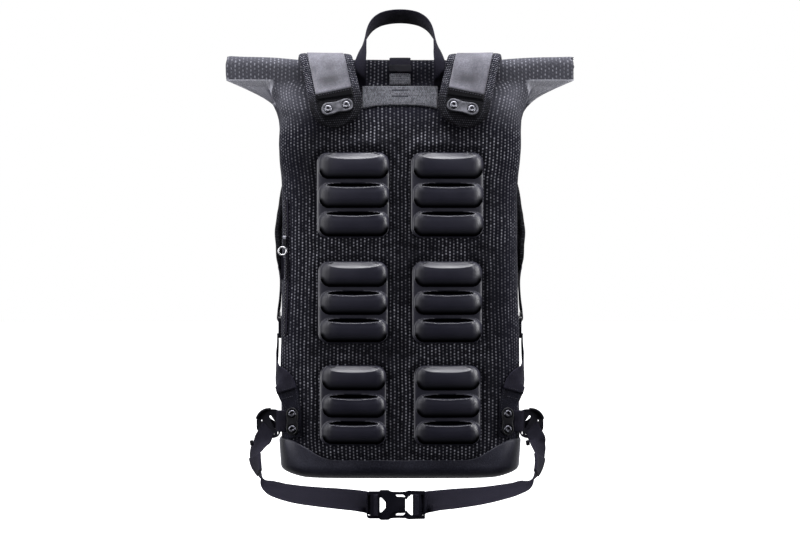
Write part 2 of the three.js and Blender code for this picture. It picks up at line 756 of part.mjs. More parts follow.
// The two walls of the mouth rolled together towards the front.
function rollTop() {
  const high = (rollHeight - mouthThick) / 2;
  const deep = (rollDepth - mouthThick) / 2;
  const pitch = mouthThick + rollEase;
  const perTurn = 12;
  const spiral = [{ y: rollY - deep, z: bodyHeight + gap }];
  for (let i = 0; i <= Math.round(rollTurns * perTurn); i += 1) {
    const turn = i / perTurn;
    const angle = 2 * Math.PI * turn;
    spiral.push({
      y: rollY - (deep - pitch * turn) * Math.cos(angle),
      z: rollZ + (high - pitch * turn) * Math.sin(angle),
    });
  }
  const shares = [0.93, 0.5, 0, -0.5, -0.93];
  const skin = (outset) => spiral.map((p, k) => {
    const before = spiral[Math.max(k - 1, 0)];
    const after = spiral[Math.min(k + 1, spiral.length - 1)];
    const run = new THREE.Vector2(after.y - before.y, after.z - before.z).normalize();
    const place = (share, lift) => vec(share * (mouthHalf + outset), p.y - run.y * lift,
      p.z + run.x * lift + (k === 0 ? 0 : rollSmile * share * share));
    const thick = mouthThick / 2 + outset;
    return [place(1, 0), ...shares.map((s) => place(s, thick)), place(-1, 0),
      ...[...shares].reverse().map((s) => place(s, -thick))];
  });
  return loftWall(skin(0), skin(-clothWall), false);
}

function baseBoot() {
  const edgeZ = (x) => {
    const share = clamp((Math.abs(x) / (bagWidth / 2) - 0.6) / 0.3, 0, 1);
    return lerp(bootMiddleHeight, bootCornerHeight, share * share * (3 - 2 * share));
  };
  const topRing = (outset) => {
    const low = ringAt(0, rowAt(bootMiddleHeight), outset);
    return low.map(({ x }, i) => {
      const onBack = i <= foldIndex || i >= low.length - foldIndex;
      const z = onBack ? edgeZ(x) : bootCornerHeight;
      return ringAt(z, rowAt(z), outset)[i];
    });
  };
  const skin = (outset) => [...baseRings(outset), topRing(outset)];
  return loftWall(skin(bootEase + bootWall), skin(bootEase), true);
}

// Back panel

// A foam pad: a thin tray with long cushions across it.
function foamPad({ centreZ, width, height }) {
  const rows = [];
  for (let n = 0; n < cushions; n += 1) {
    cushionRows.forEach((c) => rows.push({ at: (n + c.at) / cushions, swell: c.swell }));
  }
  rows[0].at = 0;
  rows.push({ at: 1, swell: 0 });
  const widest = (padColumns[3].at - padColumns[2].at) * width;
  const grid = (off) => rows.map((row) => padColumns.map((column) => {
    const end = row.at === 0 || row.at === 1 ? padEndWidth : 1;
    const x = padColumnX + (column.at - 0.5) * width * end;
    const z = centreZ + (row.at - 0.5) * height;
    return vec(x, skinY(x, z, 'back') - gap - backBulge(widest) - off(column, row), z);
  }));
  return gridSolid(grid(() => 0), grid((c, r) => padBase + padRelief * c.swell * r.swell));
}

function yokePatch() {
  const shares = [-1, -0.67, -0.33, 0, 0.33, 0.67, 1];
  const levels = levelsBetween(yokeTopZ, yokeBottomZ, [0, 1]).reverse();
  const grid = (off) => levels.map((level, r) => shares.map((share) => {
    const [x, z] = [(share * yokeWidth) / 2, level - (r === 0 ? yokeDrop * share ** 4 : 0)];
    return vec(x, skinY(x, z, 'back') - gap - off, z);
  }));
  return gridSolid(grid(backBulge(yokeWidth / 6)), grid(patchThick));
}

// Plates and screws, facing -Y about their own middle

function screwPlate({ pitch, lobe, waist }) {
  const lean = Math.asin(waist / lobe);
  const shape = new THREE.Shape();
  shape.absarc(pitch / 2, 0, lobe / 2, lean - Math.PI, Math.PI - lean);
  shape.absarc(-pitch / 2, 0, lobe / 2, lean, 2 * Math.PI - lean);
  const hole = screwHead / 2 + holeEase;
  shape.holes.push(roundHole(-pitch / 2, 0, hole), roundHole(pitch / 2, 0, hole));
  return slab(shape, plateThick, 7);
}

function screwGeometry() {
  const [radius, socket] = [screwHead / 2, screwSocket / 2];
  const profile = [
    [0, 0], [radius, 0], [radius, 0.6 * screwHeight], [0.7 * radius, screwHeight],
    [socket, screwHeight], [socket, 0.5 * screwHeight], [0, 0.5 * screwHeight],
  ];
  const geometry = new THREE.LatheGeometry(profile.map(([r, h]) => new THREE.Vector2(r, h)), 10);
  geometry.rotateX(Math.PI);
  return geometry;
}

function platedScrews(name, side, size) {
  const holder = new THREE.Group();
  const plate = piece(`${name}_plate_${side}`, screwPlate(size), 'plateMetal');
  plate.position.y = -plateThick / 2;
  holder.add(plate);
  ['a', 'b'].forEach((letter, i) => {
    const head = piece(`${name}_screw_${side}_${letter}`, screwGeometry(), 'steel');
    head.position.x = (i - 0.5) * size.pitch;
    holder.add(head);
  });
  return holder;
}

// Closure strap

function closure() {
  const group = new THREE.Group();
  const sections = overSections({
    backZ: yokeTopZ + gap,
    frontZ: closureFrontZ,
    shares: evenShares(26),
    middleX: () => 0,
    width: () => webWidth,
    thick: webThick,
  });
  group.add(piece('closure_strap', bandSolid(sections), 'webbing'));
  const slider = groupOff(bandPlace(sections, sliderZ, 'back'), gap + sliderThick / 2);
  const sliderShape = roundedBox(webWidth + 2 * sliderThick, sliderHeight, sliderThick / 2);
  slider.add(piece('closure_slider', slab(sliderShape, sliderThick, 2), 'plastic'));
  const clasp = groupOff(bandPlace(sections, claspZ, 'front'), gap + claspThick / 2);
  const claspShape = roundedBox(claspWidth, claspHeight, claspThick);
  clasp.add(piece('closure_buckle', slab(claspShape, claspThick), 'plastic'));
  group.add(slider, clasp);
  return group;
}

// Carry handle

const handleFarY = rollBackY - gap; // the legs stay on the wearer's side of the roll

function handleLeg(side) {
  return handleRows.map(({ rise, turn, fold }) => {
    const z = lerp(yokeTopZ + gap, handleArchZ, rise);
    const width = lerp(webWidth, handleFootWidth, fold);
    const thick = lerp(webThick, 2 * webThick, fold);
    const angle = degToRad(turn);
    const lean = degToRad(handleLean) * (turn / 90);
    const x = handleInnerX + (width / 2) * Math.cos(angle) + (thick / 2) * Math.sin(angle);
    const seat = Math.min(handleFarY, skinY(x, Math.min(z, bodyHeight), 'back') - gap);
    const y = seat - (thick / 2) * Math.cos(angle) - (width / 2) * Math.sin(angle) * Math.cos(lean);
    const across = vec(side * Math.cos(angle), Math.sin(angle) * Math.cos(lean),
      -Math.sin(angle) * Math.sin(lean));
    return { point: vec(side * x, y, z), across, width, thick };
  });
}

function handleSections() {
  const leg = handleLeg(1);
  const top = leg[leg.length - 1];
  const lean = degToRad(handleLean);
  const up = vec(0, Math.sin(lean), Math.cos(lean));
  const steps = 12;
  const arch = Array.from({ length: steps - 1 }, (_, i) => {
    const angle = (Math.PI * (i + 1)) / steps;
    const point = vec(top.point.x * Math.cos(angle), top.point.y, top.point.z);
    const rise = ((handleTopZ - handleArchZ) / Math.cos(lean)) * Math.sin(angle);
    return { ...top, point: point.addScaledVector(up, rise) };
  });
  const sections = [...leg, ...arch, ...handleLeg(-1).reverse()];
  return sections.map((s, k) => {
    const before = sections[Math.max(k - 1, 0)].point;
    const run = sections[Math.min(k + 1, sections.length - 1)].point.clone().sub(before).normalize();
    const across = s.across.clone().addScaledVector(run, -s.across.dot(run)).normalize();
    return { ...s, across, normal: across.clone().cross(run) };
  });
}

// Shoulder straps, made where x is positive

function strapSections() {
  const read = (share, column) => readTable(strapRows, 'share', share, column);
  const route = (share) => {
    const at = read(share, 'route');
    return at < 1 ? lerp(strapBackX, strapRollX, at) : lerp(strapRollX, strapFrontX, at - 1);
  };
  const own = strapRows.slice(0, 6).map((r) => r.share);
  const over = evenShares(20).map((share) => lerp(strapOwnShare, 1, share));
  const upper = overSections({
    backZ: strapEndZ,
    frontZ: strapFrontZ,
    shares: [...own, ...over],
    middleX: route,
    width: (share) => strapWidth * read(share, 'width'),
    thick: strapThick,
  });
  const drops = [0.15, 0.3, 0.45, 0.6, 0.7, 0.8, ...strapTipRows.slice(4).map((r) => r.drop)];
  const levels = levelsBetween(strapFrontZ, strapTipZ, drops);
  const lower = levels.map((z) => {
    const drop = (strapFrontZ - z) / (strapFrontZ - strapTipZ);
    const at = (column) => readTable(strapTipRows, 'drop', drop, column);
    const place = beside(z, at('share'), ease + strapThick / 2);
    return { ...place, width: strapWidth * at('width'), thick: strapThick };
  });
  return [...upper, ...levelSections(lower)].map(cleared);
}

// A lock: a frame with two slots and three bars, its bars along x.
function lockGeometry() {
  const length = 3 * lockBar + 2 * lockSlot;
  const shape = roundedBox(lockWidth, length, lockRadius);
  const slotAt = (lockBar + lockSlot) / 2;
  const slotWidth = lockWidth - 2 * lockSide;
  shape.holes.push(boxHole(0, -slotAt, slotWidth, lockSlot), boxHole(0, slotAt, slotWidth, lockSlot));
  return slab(shape, lockThick);
}

// Webbing in a lock's frame from its edge through a slot to behind its middle bar: along z and y.
function lockEntry() {
  const slotAt = (lockBar + lockSlot) / 2;
  const [outer, inner] = slotPass(lockThick, lockSlot);
  const edge = lockBar * 1.5 + lockSlot + gap;
  return [[edge, -outer[1]], [slotAt - outer[0], -outer[1]], [slotAt - inner[0], -inner[1]],
    [gap, -inner[1]]];
}

function strapWebbing(side, sections, wing) {
  const group = new THREE.Group();
  const web = { width: webWidth, thick: webThick };
  const atLock = beside(strapLockZ, 0.5, strapLockLift);
  const tangent = vec(0, 0, 1).cross(atLock.facing);
  const lock = new THREE.Group();
  lock.applyMatrix4(new THREE.Matrix4().makeBasis(tangent, atLock.facing.clone().negate(), vec(0, 0, 1))
    .setPosition(atLock.point));
  lock.add(piece(`strap_lock_${side}`, lockGeometry(), 'plastic'));
  const inLock = (z, y) => vec(0, y, z).applyMatrix4(lock.matrix);

  const tip = sections[sections.length - 1];
  const run = tip.point.clone().sub(sections[sections.length - 2].point).normalize();
  const start = tip.point.clone().addScaledVector(run, gap);
  const lockReach = lockEntry()[0][0];
  const tailLow = strapLockZ + lockReach;
  const tail = tailRows.map(({ drop, share }) => (
    beside(lerp(strapTipZ, tailLow, drop), share, ease + strapThick / 2)));
  const entry = lockEntry().map(([z, y]) => inLock(z, y));
  const tailPath = [start, ...tail.map((p) => p.point), ...entry];
  const tailFacings = [tip.normal, ...tail.map((p) => p.facing), ...entry.map(() => atLock.facing)];
  const tailBand = bandSolid(facedSections(tailPath, tailFacings, web, tip.across));
  group.add(lock, piece(`strap_tail_${side}`, tailBand, 'webbing'));

  const low = lockEntry().map(([z, y]) => inLock(-z, y)).reverse();
  const [edgeOut, edgeIn] = wingTopEdge.map((k) => wing.corner(k));
  const middle = edgeOut.clone().add(edgeIn).multiplyScalar(0.5);
  const edge = edgeOut.clone().sub(edgeIn).normalize();
  const away = edge.clone().cross(wing.facing).negate();
  const end = middle.clone().addScaledVector(away, gap);
  const nearEnd = middle.clone().addScaledVector(away, webWidth / 3);
  const webTop = strapLockZ - lockReach;
  const free = webRows.map(({ drop, share, lift }) => (
    beside(lerp(webTop, middle.z, drop), share, lift * (ease + strapThick / 2))));
  const webPath = [...low, ...free.map((p) => p.point), nearEnd, end];
  const webFacings = [...low.map(() => atLock.facing), ...free.map((p) => p.facing),
    wing.facing, wing.facing];
  const webBand = bandSolid(facedSections(webPath, webFacings, web));
  group.add(piece(`strap_web_${side}`, webBand, 'webbing'));
  return group;
}

function shoulderStrap(side, wing) {
  const group = new THREE.Group();
  const sections = strapSections();
  group.add(piece(`strap_pad_${side}`, paddedSolid(sections), 'spacerMesh'));
  const faceFrom = sections.findIndex((s) => s.point.z > strapPlateZ + strapPlate.lobe / 2);
  const faceSections = sections.slice(faceFrom, -2);
  group.add(piece(`strap_face_${side}`, facingSolid(faceSections), 'strapCloth'));
  const holder = groupOff(bandPlace(sections, strapPlateZ, 'back'), gap);
  const plated = platedScrews('strap', side, strapPlate);
  plated.rotation.y = degToRad(strapPlateTurn);
  holder.add(plated);
  group.add(holder, strapWebbing(side, sections, wing));
  return group;
}

// Lower corners and belt, made where x is positive

function wingFrame() {
  const group = new THREE.Group();
  const inner = (wingWidth / 2) * Math.abs(wingOutline[0][0]);
  const turn = degToRad(wingTurn);
  const skin = skinY(wingX - inner, wingZ + wingHeight / 2, 'back');
  const y = skin - gap - wingThick / 2 + inner * Math.sin(turn);
  group.position.set(wingX, y, wingZ);
  group.rotation.z = turn;
  group.updateMatrix();
  const at = (x, depth, z) => vec(x, depth, z).applyMatrix4(group.matrix);
  const corner = (k) => at((wingOutline[k][0] * wingWidth) / 2, 0, (wingOutline[k][1] * wingHeight) / 2);
  return { group, at, corner, facing: vec(Math.sin(turn), -Math.cos(turn), 0) };
}

// The belt's lock: a round frame with an upright slot for its loop and a slanting one for the belt.
function beltLockGeometry() {
  const shape = roundedBox(beltLockWidth, beltLockHeight, beltLockRadius);
  const loopX = -beltLockWidth / 2 + beltLockRim + beltLockSlot / 2;
  shape.holes.push(boxHole(loopX, 0, beltLockSlot, loopWidth + 2 * gap));
  const [half, turn] = [beltBunch / 2 + gap, degToRad(beltPull)];
  const corners = [[-1, -1], [1, -1], [1, 1], [-1, 1]].map(([u, v]) => {
    const [along, across] = [(u * beltPullSlot) / 2, v * half];
    return [beltSlotOut + along * Math.cos(turn) - across * Math.sin(turn),
      along * Math.sin(turn) + across * Math.cos(turn) - beltSlotDown];
  });
  shape.holes.push(polygon(corners));
  return slab(shape, lockThick, 6);
}

// Webbing round the inner bar of the lock, its two ends at the wing's edge.
function beltLoop(edgeX, barX) {
  const off = lockThick / 2 + gap + loopPly / 2;
  const end = edgeX + gap;
  const round = barX + beltLockRim / 2 + gap + loopPly / 2;
  const shut = gap / 2 + loopPly / 2;
  const path = [[end, -shut], [barX - beltLockRim, -off], [round - loopPly / 2, -off], [round, 0],
    [round - loopPly / 2, off], [barX - beltLockRim, off], [end, shut]].map(([x, y]) => vec(x, y, 0));
  const sections = path.map((point, k) => {
    const before = path[Math.max(k - 1, 0)];
    const run = path[Math.min(k + 1, path.length - 1)].clone().sub(before).normalize();
    const across = vec(0, 0, 1);
    return { point, across, normal: across.clone().cross(run), width: loopWidth, thick: loopPly };
  });
  return bandSolid(sections);
}

function beltSections(wing, endX) {
  const pull = degToRad(beltPull);
  const alongPull = (along, y) => wing.at(
    beltLockOut + beltSlotOut + along * Math.cos(pull), y, along * Math.sin(pull) - beltSlotDown);
  const [behind, before] = slotPass(lockThick, beltPullSlot);
  const fromLock = [
    [-beltPullSlot, behind[1]], behind, before, [beltPullSlot, before[1]],
    [beltFlatRun, before[1]],
  ].map(([along, y]) => alongPull(along, y));
  const start = fromLock[fromLock.length - 1];
  const off = buckleThick / 2 + gap + webThick / 2;
  const slotMiddle = endX - buckleRim - buckleSlot / 2;
  const slope = slotSlope * buckleSlot;
  const intoBuckle = [[endX + webThick, off], [slotMiddle + slope, off], [slotMiddle - slope, -off],
    [slotMiddle - buckleSlot / 2 - buckleBar, -off]].map(([x, y]) => vec(x, buckleY + y, buckleZ));
  const finish = intoBuckle[0];
  const free = beltRows.map(({ inward, forward, down }) => vec(
    lerp(start.x, finish.x, inward), lerp(start.y, finish.y, forward), lerp(start.z, finish.z, down)));
  const turns = [...fromLock.map(() => 90), ...beltRows.map((r) => r.turn), ...intoBuckle.map(() => -90)];
  const bunches = [...fromLock.map(() => 1), ...beltRows.map((r) => r.bunch), ...intoBuckle.map(() => 0)];
  const path = [...fromLock, ...free, ...intoBuckle];
  const depths = path.map((_, k) => (k < fromLock.length ? wing.facing.clone().negate() : vec(0, 1, 0)));
  const sections = turnedSections(path, depths, turns, bunches);
  return { sections, freeFrom: fromLock.length };
}

// A sleeve round the belt that follows it over a few of its sections.
function beltKeeper(sections) {
  const ring = (outset) => sections.map(({ point, across, normal }) => {
    const [w, t] = [webWidth / 2 + gap + outset, webThick / 2 + gap + outset];
    return [[-w, -t], [w, -t], [w, t], [-w, t]].map(([a, n]) => (
      point.clone().addScaledVector(across, a).addScaledVector(normal, n)));
  });
  return loftWall(ring(keeperWall), ring(0), false);
}

function beltCorner(side, wing, endX) {
  const outline = wingOutline.map(([x, z]) => [(x * wingWidth) / 2, (z * wingHeight) / 2]);
  wing.group.add(piece(`corner_wing_${side}`, slab(polygon(outline), wingThick), 'coatedCloth'));
  const seat = new THREE.Group();
  seat.position.y = -wingThick / 2 - gap;
  const plated = platedScrews('wing', side, cornerPlate);
  plated.rotation.y = Math.PI / 2;
  seat.add(plated);
  const edgeX = outline[1][0];
  const barX = beltLockOut - beltLockWidth / 2 + beltLockRim / 2;
  wing.group.add(seat, piece(`belt_loop_${side}`, beltLoop(edgeX, barX), 'webbing'));
  const lock = piece(`belt_lock_${side}`, beltLockGeometry(), 'plastic');
  lock.position.x = beltLockOut;
  wing.group.add(lock);
  const group = new THREE.Group();
  const { sections, freeFrom } = beltSections(wing, endX);
  group.add(piece(`belt_web_${side}`, bandSolid(sections), 'webbing'));
  const held = keeperRows.map((k) => sections[freeFrom + k]);
  group.add(piece(`belt_keeper_${side}`, beltKeeper(held), 'webbing'), wing.group);
  return group;
}

// Side-release buckle about its own middle, the socket on the left

function buckleSocket() {
  const [end, wide, body] = [buckleReach, buckleWidth / 2, socketHeight / 2];
  const bar = end - buckleRim - buckleSlot - buckleBar;
  const shoulder = bar - buckleFrame * buckleBar;
  const waist = shoulder - buckleBar;
  const half = [[-end, wide], [-shoulder, wide], [-waist, body], [socketReach, body]];
  const shape = polygon(mirrorInZ(half));
  const slotX = -end + buckleRim + buckleSlot / 2;
  shape.holes.push(boxHole(slotX, 0, buckleSlot, webWidth + 2 * gap));
  shape.holes.push(boxHole(-bar + buckleBar, 0, buckleBar, socketHeight));
  return slab(shape, buckleThick);
}

function bucklePlug() {
  const [end, wide] = [buckleReach, buckleWidth / 2];
  const bar = end - buckleRim - buckleSlot - buckleBar;
  const tip = -(bar - buckleFrame * buckleBar) + 2 * buckleBar;
  const half = [[end, wide], [tip, wide], [tip, wide - plugArm], [bar, wide - plugArm]];
  const shape = polygon(mirrorInZ(half));
  shape.holes.push(boxHole(end - buckleRim - buckleSlot / 2, 0, buckleSlot, webWidth + 2 * gap));
  return slab(shape, buckleThick);
}

function buckle() {
  const group = new THREE.Group();
  group.position.set(buckleX, buckleY, buckleZ);
  group.add(piece('buckle_socket', buckleSocket(), 'plastic'));
  group.add(piece('buckle_plug', bucklePlug(), 'plastic'));
  return group;
}

// Zip and pull, made where x is positive

function sideZip() {
  const group = new THREE.Group();
  const levels = levelsBetween(zipTopZ, zipBottomZ, evenShares(5));
  const places = levels.map((z) => beside(z, zipShare, gap + zipThick));
  const sections = facedSections(places.map((p) => p.point), places.map((p) => p.facing),
    { width: zipWidth, thick: zipThick });
  group.add(piece('side_zip', bandSolid(sections), 'webbing'));
  const place = bandPlace(sections, zipSliderZ, 'front');
  const slider = groupOff(place, gap + zipSliderThick / 2);
  const body = slab(roundedBox(zipSliderWidth, zipSliderLength, zipSliderThick / 2), zipSliderThick, 2);
  slider.add(piece('zip_slider', body, 'steel'));
  const pull = new THREE.Group();
  const radius = pullRingRadius + pullWire;
  const clear = zipThick / 2 + radius * Math.abs(place.normal.x) + pullWire + gap;
  pull.position.copy(place.point).addScaledVector(place.normal, clear);
  pull.position.z -= zipSliderLength / 2 + gap + radius;
  const ring = new THREE.TorusGeometry(pullRingRadius, pullWire, 6, 14);
  ring.rotateX(Math.PI / 2);
  pull.add(piece('pull_ring', ring, 'steel'));
  const tabShape = roundedBox(pullTabWidth, pullTabLength, pullTabWidth / 3);
  const tab = piece('pull_tab', slab(tabShape, pullTabThick, 2), 'plastic');
  tab.position.z = -pullRingRadius - pullWire - gap - pullTabLength / 2;
  pull.add(tab);
  group.add(slider, pull);
  return group;
}

function oneSide(side) {
  const group = new THREE.Group();
  padRows.forEach((row) => group.add(piece(`back_pad_${row.name}_${side}`, foamPad(row), 'foam')));
  const wing = wingFrame();
  const endX = buckleReach + (side === 'left' ? -buckleX : buckleX);
  group.add(beltCorner(side, wing, endX), shoulderStrap(side, wing));
  if (side === 'left') {
    group.add(sideZip());
    group.scale.x = -1;
  }
  return group;
}

const handle = handleSections();
const handleTop = handle[(handle.length - 1) / 2];
const backpack = new THREE.Group();
const aboveBase = new THREE.Group();
aboveBase.position.copy(handleTop.point).addScaledVector(handleTop.normal, webThick / 2).negate();
aboveBase.add(piece('bag_shell', bagShell(), 'dottedCloth'));
aboveBase.add(piece('roll_top', rollTop(), 'dottedCloth'));
aboveBase.add(piece('base_boot', baseBoot(), 'coatedCloth'));
aboveBase.add(piece('yoke_patch', yokePatch(), 'yokeCloth'));
aboveBase.add(piece('carry_handle', bandSolid(handle), 'webbing'));
aboveBase.add(closure(), buckle(), oneSide('left'), oneSide('right'));
backpack.add(aboveBase);

export default backpack;
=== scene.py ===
# A roll-top cycling backpack seen from the wearer's side, hung up with its belt fastened.
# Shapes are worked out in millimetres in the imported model's frame and turned to metres at the end.
import math
from functools import partial

import bmesh
import bpy
from mathutils import Matrix, Vector, noise


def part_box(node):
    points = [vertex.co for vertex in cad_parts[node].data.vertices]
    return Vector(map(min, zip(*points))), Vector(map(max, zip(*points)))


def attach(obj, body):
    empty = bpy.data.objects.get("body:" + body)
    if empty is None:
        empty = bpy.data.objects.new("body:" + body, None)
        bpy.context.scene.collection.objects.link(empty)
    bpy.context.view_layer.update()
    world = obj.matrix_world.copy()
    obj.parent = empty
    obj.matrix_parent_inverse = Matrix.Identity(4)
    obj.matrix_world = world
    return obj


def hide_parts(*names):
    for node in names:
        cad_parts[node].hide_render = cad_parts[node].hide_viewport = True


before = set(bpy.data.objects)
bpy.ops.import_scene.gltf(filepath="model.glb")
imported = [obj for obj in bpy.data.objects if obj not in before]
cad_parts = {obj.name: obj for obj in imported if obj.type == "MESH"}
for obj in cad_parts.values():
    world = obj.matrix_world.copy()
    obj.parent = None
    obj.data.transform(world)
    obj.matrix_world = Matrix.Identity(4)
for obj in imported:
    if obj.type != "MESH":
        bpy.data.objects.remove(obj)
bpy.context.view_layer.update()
scene = bpy.context.scene
sideNames = {-1: "left", 1: "right"}
print("frame loaded")


def mix(a, b, t):
    return a + (b - a) * t


def clamp(value, low=0.0, high=1.0):
    return max(low, min(high, value))


def ease(t):
    t = clamp(t)
    return t * t * (3 - 2 * t)


def hump(x, middle, reach):
    return math.exp(-(((x - middle) / reach) ** 2))


def readTable(rows, place):
    # rows start with the place they hold for; straight between two rows
    k = 1
    while k < len(rows) - 1 and rows[k][0] < place:
        k += 1
    low, high = rows[k - 1], rows[k]
    t = clamp((place - low[0]) / (high[0] - low[0]))
    return [mix(a, b, t) for a, b in zip(low[1:], high[1:])]


# Materials

def linear(hexColour):
    parts = [int(hexColour[i:i + 2], 16) / 255 for i in (0, 2, 4)]
    return tuple(c / 12.92 if c <= 0.04045 else ((c + 0.055) / 1.055) ** 2.4 for c in parts) + (1.0,)


def setInputs(tree, node, inputs):
    # inputs by name or in their order: a number, a colour in hex, or the output of another node
    for key, value in (inputs.items() if isinstance(inputs, dict) else enumerate(inputs)):
        if isinstance(value, bpy.types.NodeSocket):
            tree.links.new(value, node.inputs[key])
        else:
            node.inputs[key].default_value = linear(value) if isinstance(value, str) else value


def addNode(tree, kind, inputs=(), out=0, **settings):
    node = tree.nodes.new("ShaderNode" + kind)
    for key, value in settings.items():
        setattr(node, key, value)
    setInputs(tree, node, inputs)
    return node.outputs[out] if len(node.outputs) else node


def makeMaterial(name, pattern, colour, roughness, metallic=0.0, specular=0.5, sheen=0.0, tones=()):
    # the pattern gives the shader's inputs that vary over the surface
    material = bpy.data.materials.new(name)
    material.use_nodes = True
    tree = material.node_tree
    shader = tree.nodes["Principled BSDF"]
    setInputs(tree, shader, {"Base Color": colour, "Roughness": roughness, "Metallic": metallic})
    if metallic < 0.5:
        setInputs(tree, shader, {"IOR": 1.5, "Specular IOR Level": specular})
    if sheen:
        setInputs(tree, shader, {"Sheen Weight": sheen, "Sheen Roughness": 0.5})
    setInputs(tree, shader, pattern(partial(addNode, tree), *tones))
    return material


def clothPlace(add):
    # millimetres across and along the cloth
    return add("SeparateXYZ", [add("UVMap", uv_map="weave")], slice(0, 2))


def cellNumber(add, value, pitch):
    # which cell of the weave a place is in
    return add("Math", [add("Math", [value, pitch], operation="DIVIDE")], operation="FLOOR")


def cellChance(add, column, row):
    # from 0 to 1, another for each cell of the weave
    return add("TexWhiteNoise", {"Vector": add("CombineXYZ", [column, row, 0.0])}, noise_dimensions="2D")


def fromMiddle(add, value, pitch):
    # share of the pitch that a place lies from the middle of its cell
    share = add("Math", [add("Math", [value, pitch], operation="DIVIDE")], operation="FRACT")
    return add("Math", [share, 0.5], operation="SUBTRACT")


def stripe(add, value, pitch, width, soft):
    # 1 on lines that are so wide, 0 between them
    away = add("Math", [fromMiddle(add, value, pitch)], operation="ABSOLUTE")
    half = width / pitch / 2
    return add("MapRange", [away, half + soft / 2, half - soft / 2])


def reflectiveCloth(add):
    # polyester woven with a retro-reflective yarn: nearly black and matt, with rows of pale floats of yarn;
    # the attribute set on the mesh is painted light: 0.12 on the flat back, 0.34 on the sides and the front,
    # up to 1.6 on the ears and 4.5 more on the gussets below them, where the cloth turns to the light, so
    # they are painted lighter
    pitchU, pitchV = 4.4, 3.7  # mm between floats, measured in the photograph
    u, v = clothPlace(add)
    place = add("TexCoord", out="Object")
    paintedLightAndTone = add("Attribute", out="Fac", attribute_name="paintedLightAndTone")
    sway = add("TexNoise", {"Vector": place, "Scale": 21, "Detail": 3, "Roughness": 0.6})
    sway = add("Math", [add("Math", [sway, 0.5], operation="SUBTRACT"), 3.4], operation="MULTIPLY")
    column = add("Math", [u, sway], operation="ADD")
    lane = cellNumber(add, column, pitchU)
    odd = add("Math", [add("Math", [lane], operation="ABSOLUTE"), 2.0], operation="MODULO")
    step = add("Math", [odd, pitchV * 0.45], operation="MULTIPLY")
    level = add("Math", [v, step], operation="ADD")
    chance = cellChance(add, lane, cellNumber(add, level, pitchV))
    dots = add("Math", [stripe(add, column, pitchU, 0.95, 0.3), stripe(add, level, pitchV, 1.9, 0.3)],
               operation="MULTIPLY")
    beside = add("Math", [column, pitchU / 2], operation="ADD")
    rib = stripe(add, beside, pitchU, 0.8, 0.4)
    fine = add("Math", [stripe(add, column, pitchU / 4, 0.55, 0.4), stripe(add, level, pitchV / 3, 0.6, 0.4)],
               operation="MULTIPLY")
    patch = add("TexNoise", {"Vector": place, "Scale": 12, "Detail": 4, "Roughness": 0.65})
    patch = add("MapRange", [patch, 0.38, 0.62, 0.3, 1.0])
    # painted light: more floats show where the attribute is high, on the ears and the gussets
    patch = add("Math", [patch, add("MapRange", [paintedLightAndTone, 0.3, 1.0])], operation="MAXIMUM")
    shine = add("Math", [dots, patch], operation="MULTIPLY")
    shine = add("Math", [shine, add("MapRange", [chance, 0.0, 1.0, 0.12, 1.0])], operation="MULTIPLY")
    shine = add("Math", [shine, add("MapRange", [paintedLightAndTone, 0.16, 0.36, 1.0, 0.72])], operation="MULTIPLY")
    ribs = add("Math", [rib, add("Math", [patch, 0.5], operation="MULTIPLY")], operation="MULTIPLY")
    gussetPaintedLight = add("MapRange", [paintedLightAndTone, 1.6, 4.4])
    lit = add("Mix", {0: fine, 6: "9c9caa", 7: "fafaff"}, 2, data_type="RGBA")
    base = add("Mix", {0: fine, 6: "050509", 7: "14141f"}, 2, data_type="RGBA")
    # the ribs between the rows, then the painted light on the sides, the ears and the gussets
    for share, tone in ((ribs, "22222e"), (add("MapRange", [paintedLightAndTone, 0.16, 0.36]), "14141e"),
                        (add("MapRange", [paintedLightAndTone, 0.4, 1.4]), "4a4a52"), (gussetPaintedLight, lit)):
        base = add("Mix", {0: share, 6: base, 7: tone}, 2, data_type="RGBA")
    # painted light: the floats are painted palest on the gussets
    yarn = add("Mix", {0: add("MapRange", [paintedLightAndTone, 0.1, 1.4]), 6: "cecedc", 7: "b8b8c4"}, 2, data_type="RGBA")
    yarn = add("Mix", {0: gussetPaintedLight, 6: yarn, 7: "ececf2"}, 2, data_type="RGBA")
    floats = add("Math", [shine, 1.0], operation="MINIMUM")
    height = add("Math", [dots, add("Math", [fine, 0.35], operation="MULTIPLY")], operation="ADD")
    return {
        "Base Color": add("Mix", {0: floats, 6: base, 7: yarn}, 2, data_type="RGBA"),
        "Roughness": add("MapRange", [shine, 0.0, 1.0, 0.85, 0.6]),
        "Normal": add("Bump", {"Height": height, "Distance": 0.00035, "Strength": 1.0}),
    }


def coatedCloth(add):
    # nylon coated with TPU: nearly smooth, with a fine leathery grain that catches the light; the attribute
    # set on the mesh is painted light, up to 0.75 at the foot's corners where the side light falls, broken up
    # by noise
    place = add("TexCoord", out="Object")
    paintedLightAndTone = add("Attribute", out="Fac", attribute_name="paintedLightAndTone")
    grain = add("TexNoise", {"Vector": place, "Scale": 620, "Detail": 4, "Roughness": 0.65})
    mottle = add("TexNoise", {"Vector": place, "Scale": 22, "Detail": 4, "Roughness": 0.6})
    paintedCornerLight = add("Math", [paintedLightAndTone, add("MapRange", [mottle, 0.3, 0.6, 0.5, 1.0])], operation="MULTIPLY")
    speck = add("Math", [add("MapRange", [grain, 0.45, 0.7]), 0.45], operation="MULTIPLY")
    body = add("Mix", {0: add("MapRange", [mottle, 0.35, 0.7]), 6: "11111f", 7: "1d1d2c"}, 2, data_type="RGBA")
    # painted light at the foot's corners, then the grain's pale specks
    for share, tone in ((paintedCornerLight, "5e5e6e"), (speck, "4a4a58")):
        body = add("Mix", {0: share, 6: body, 7: tone}, 2, data_type="RGBA")
    return {
        "Base Color": body,
        "Roughness": add("MapRange", [mottle, 0.3, 0.7, 0.44, 0.6]),
        "Normal": add("Bump", {"Height": grain, "Distance": 0.00045, "Strength": 0.9}),
    }


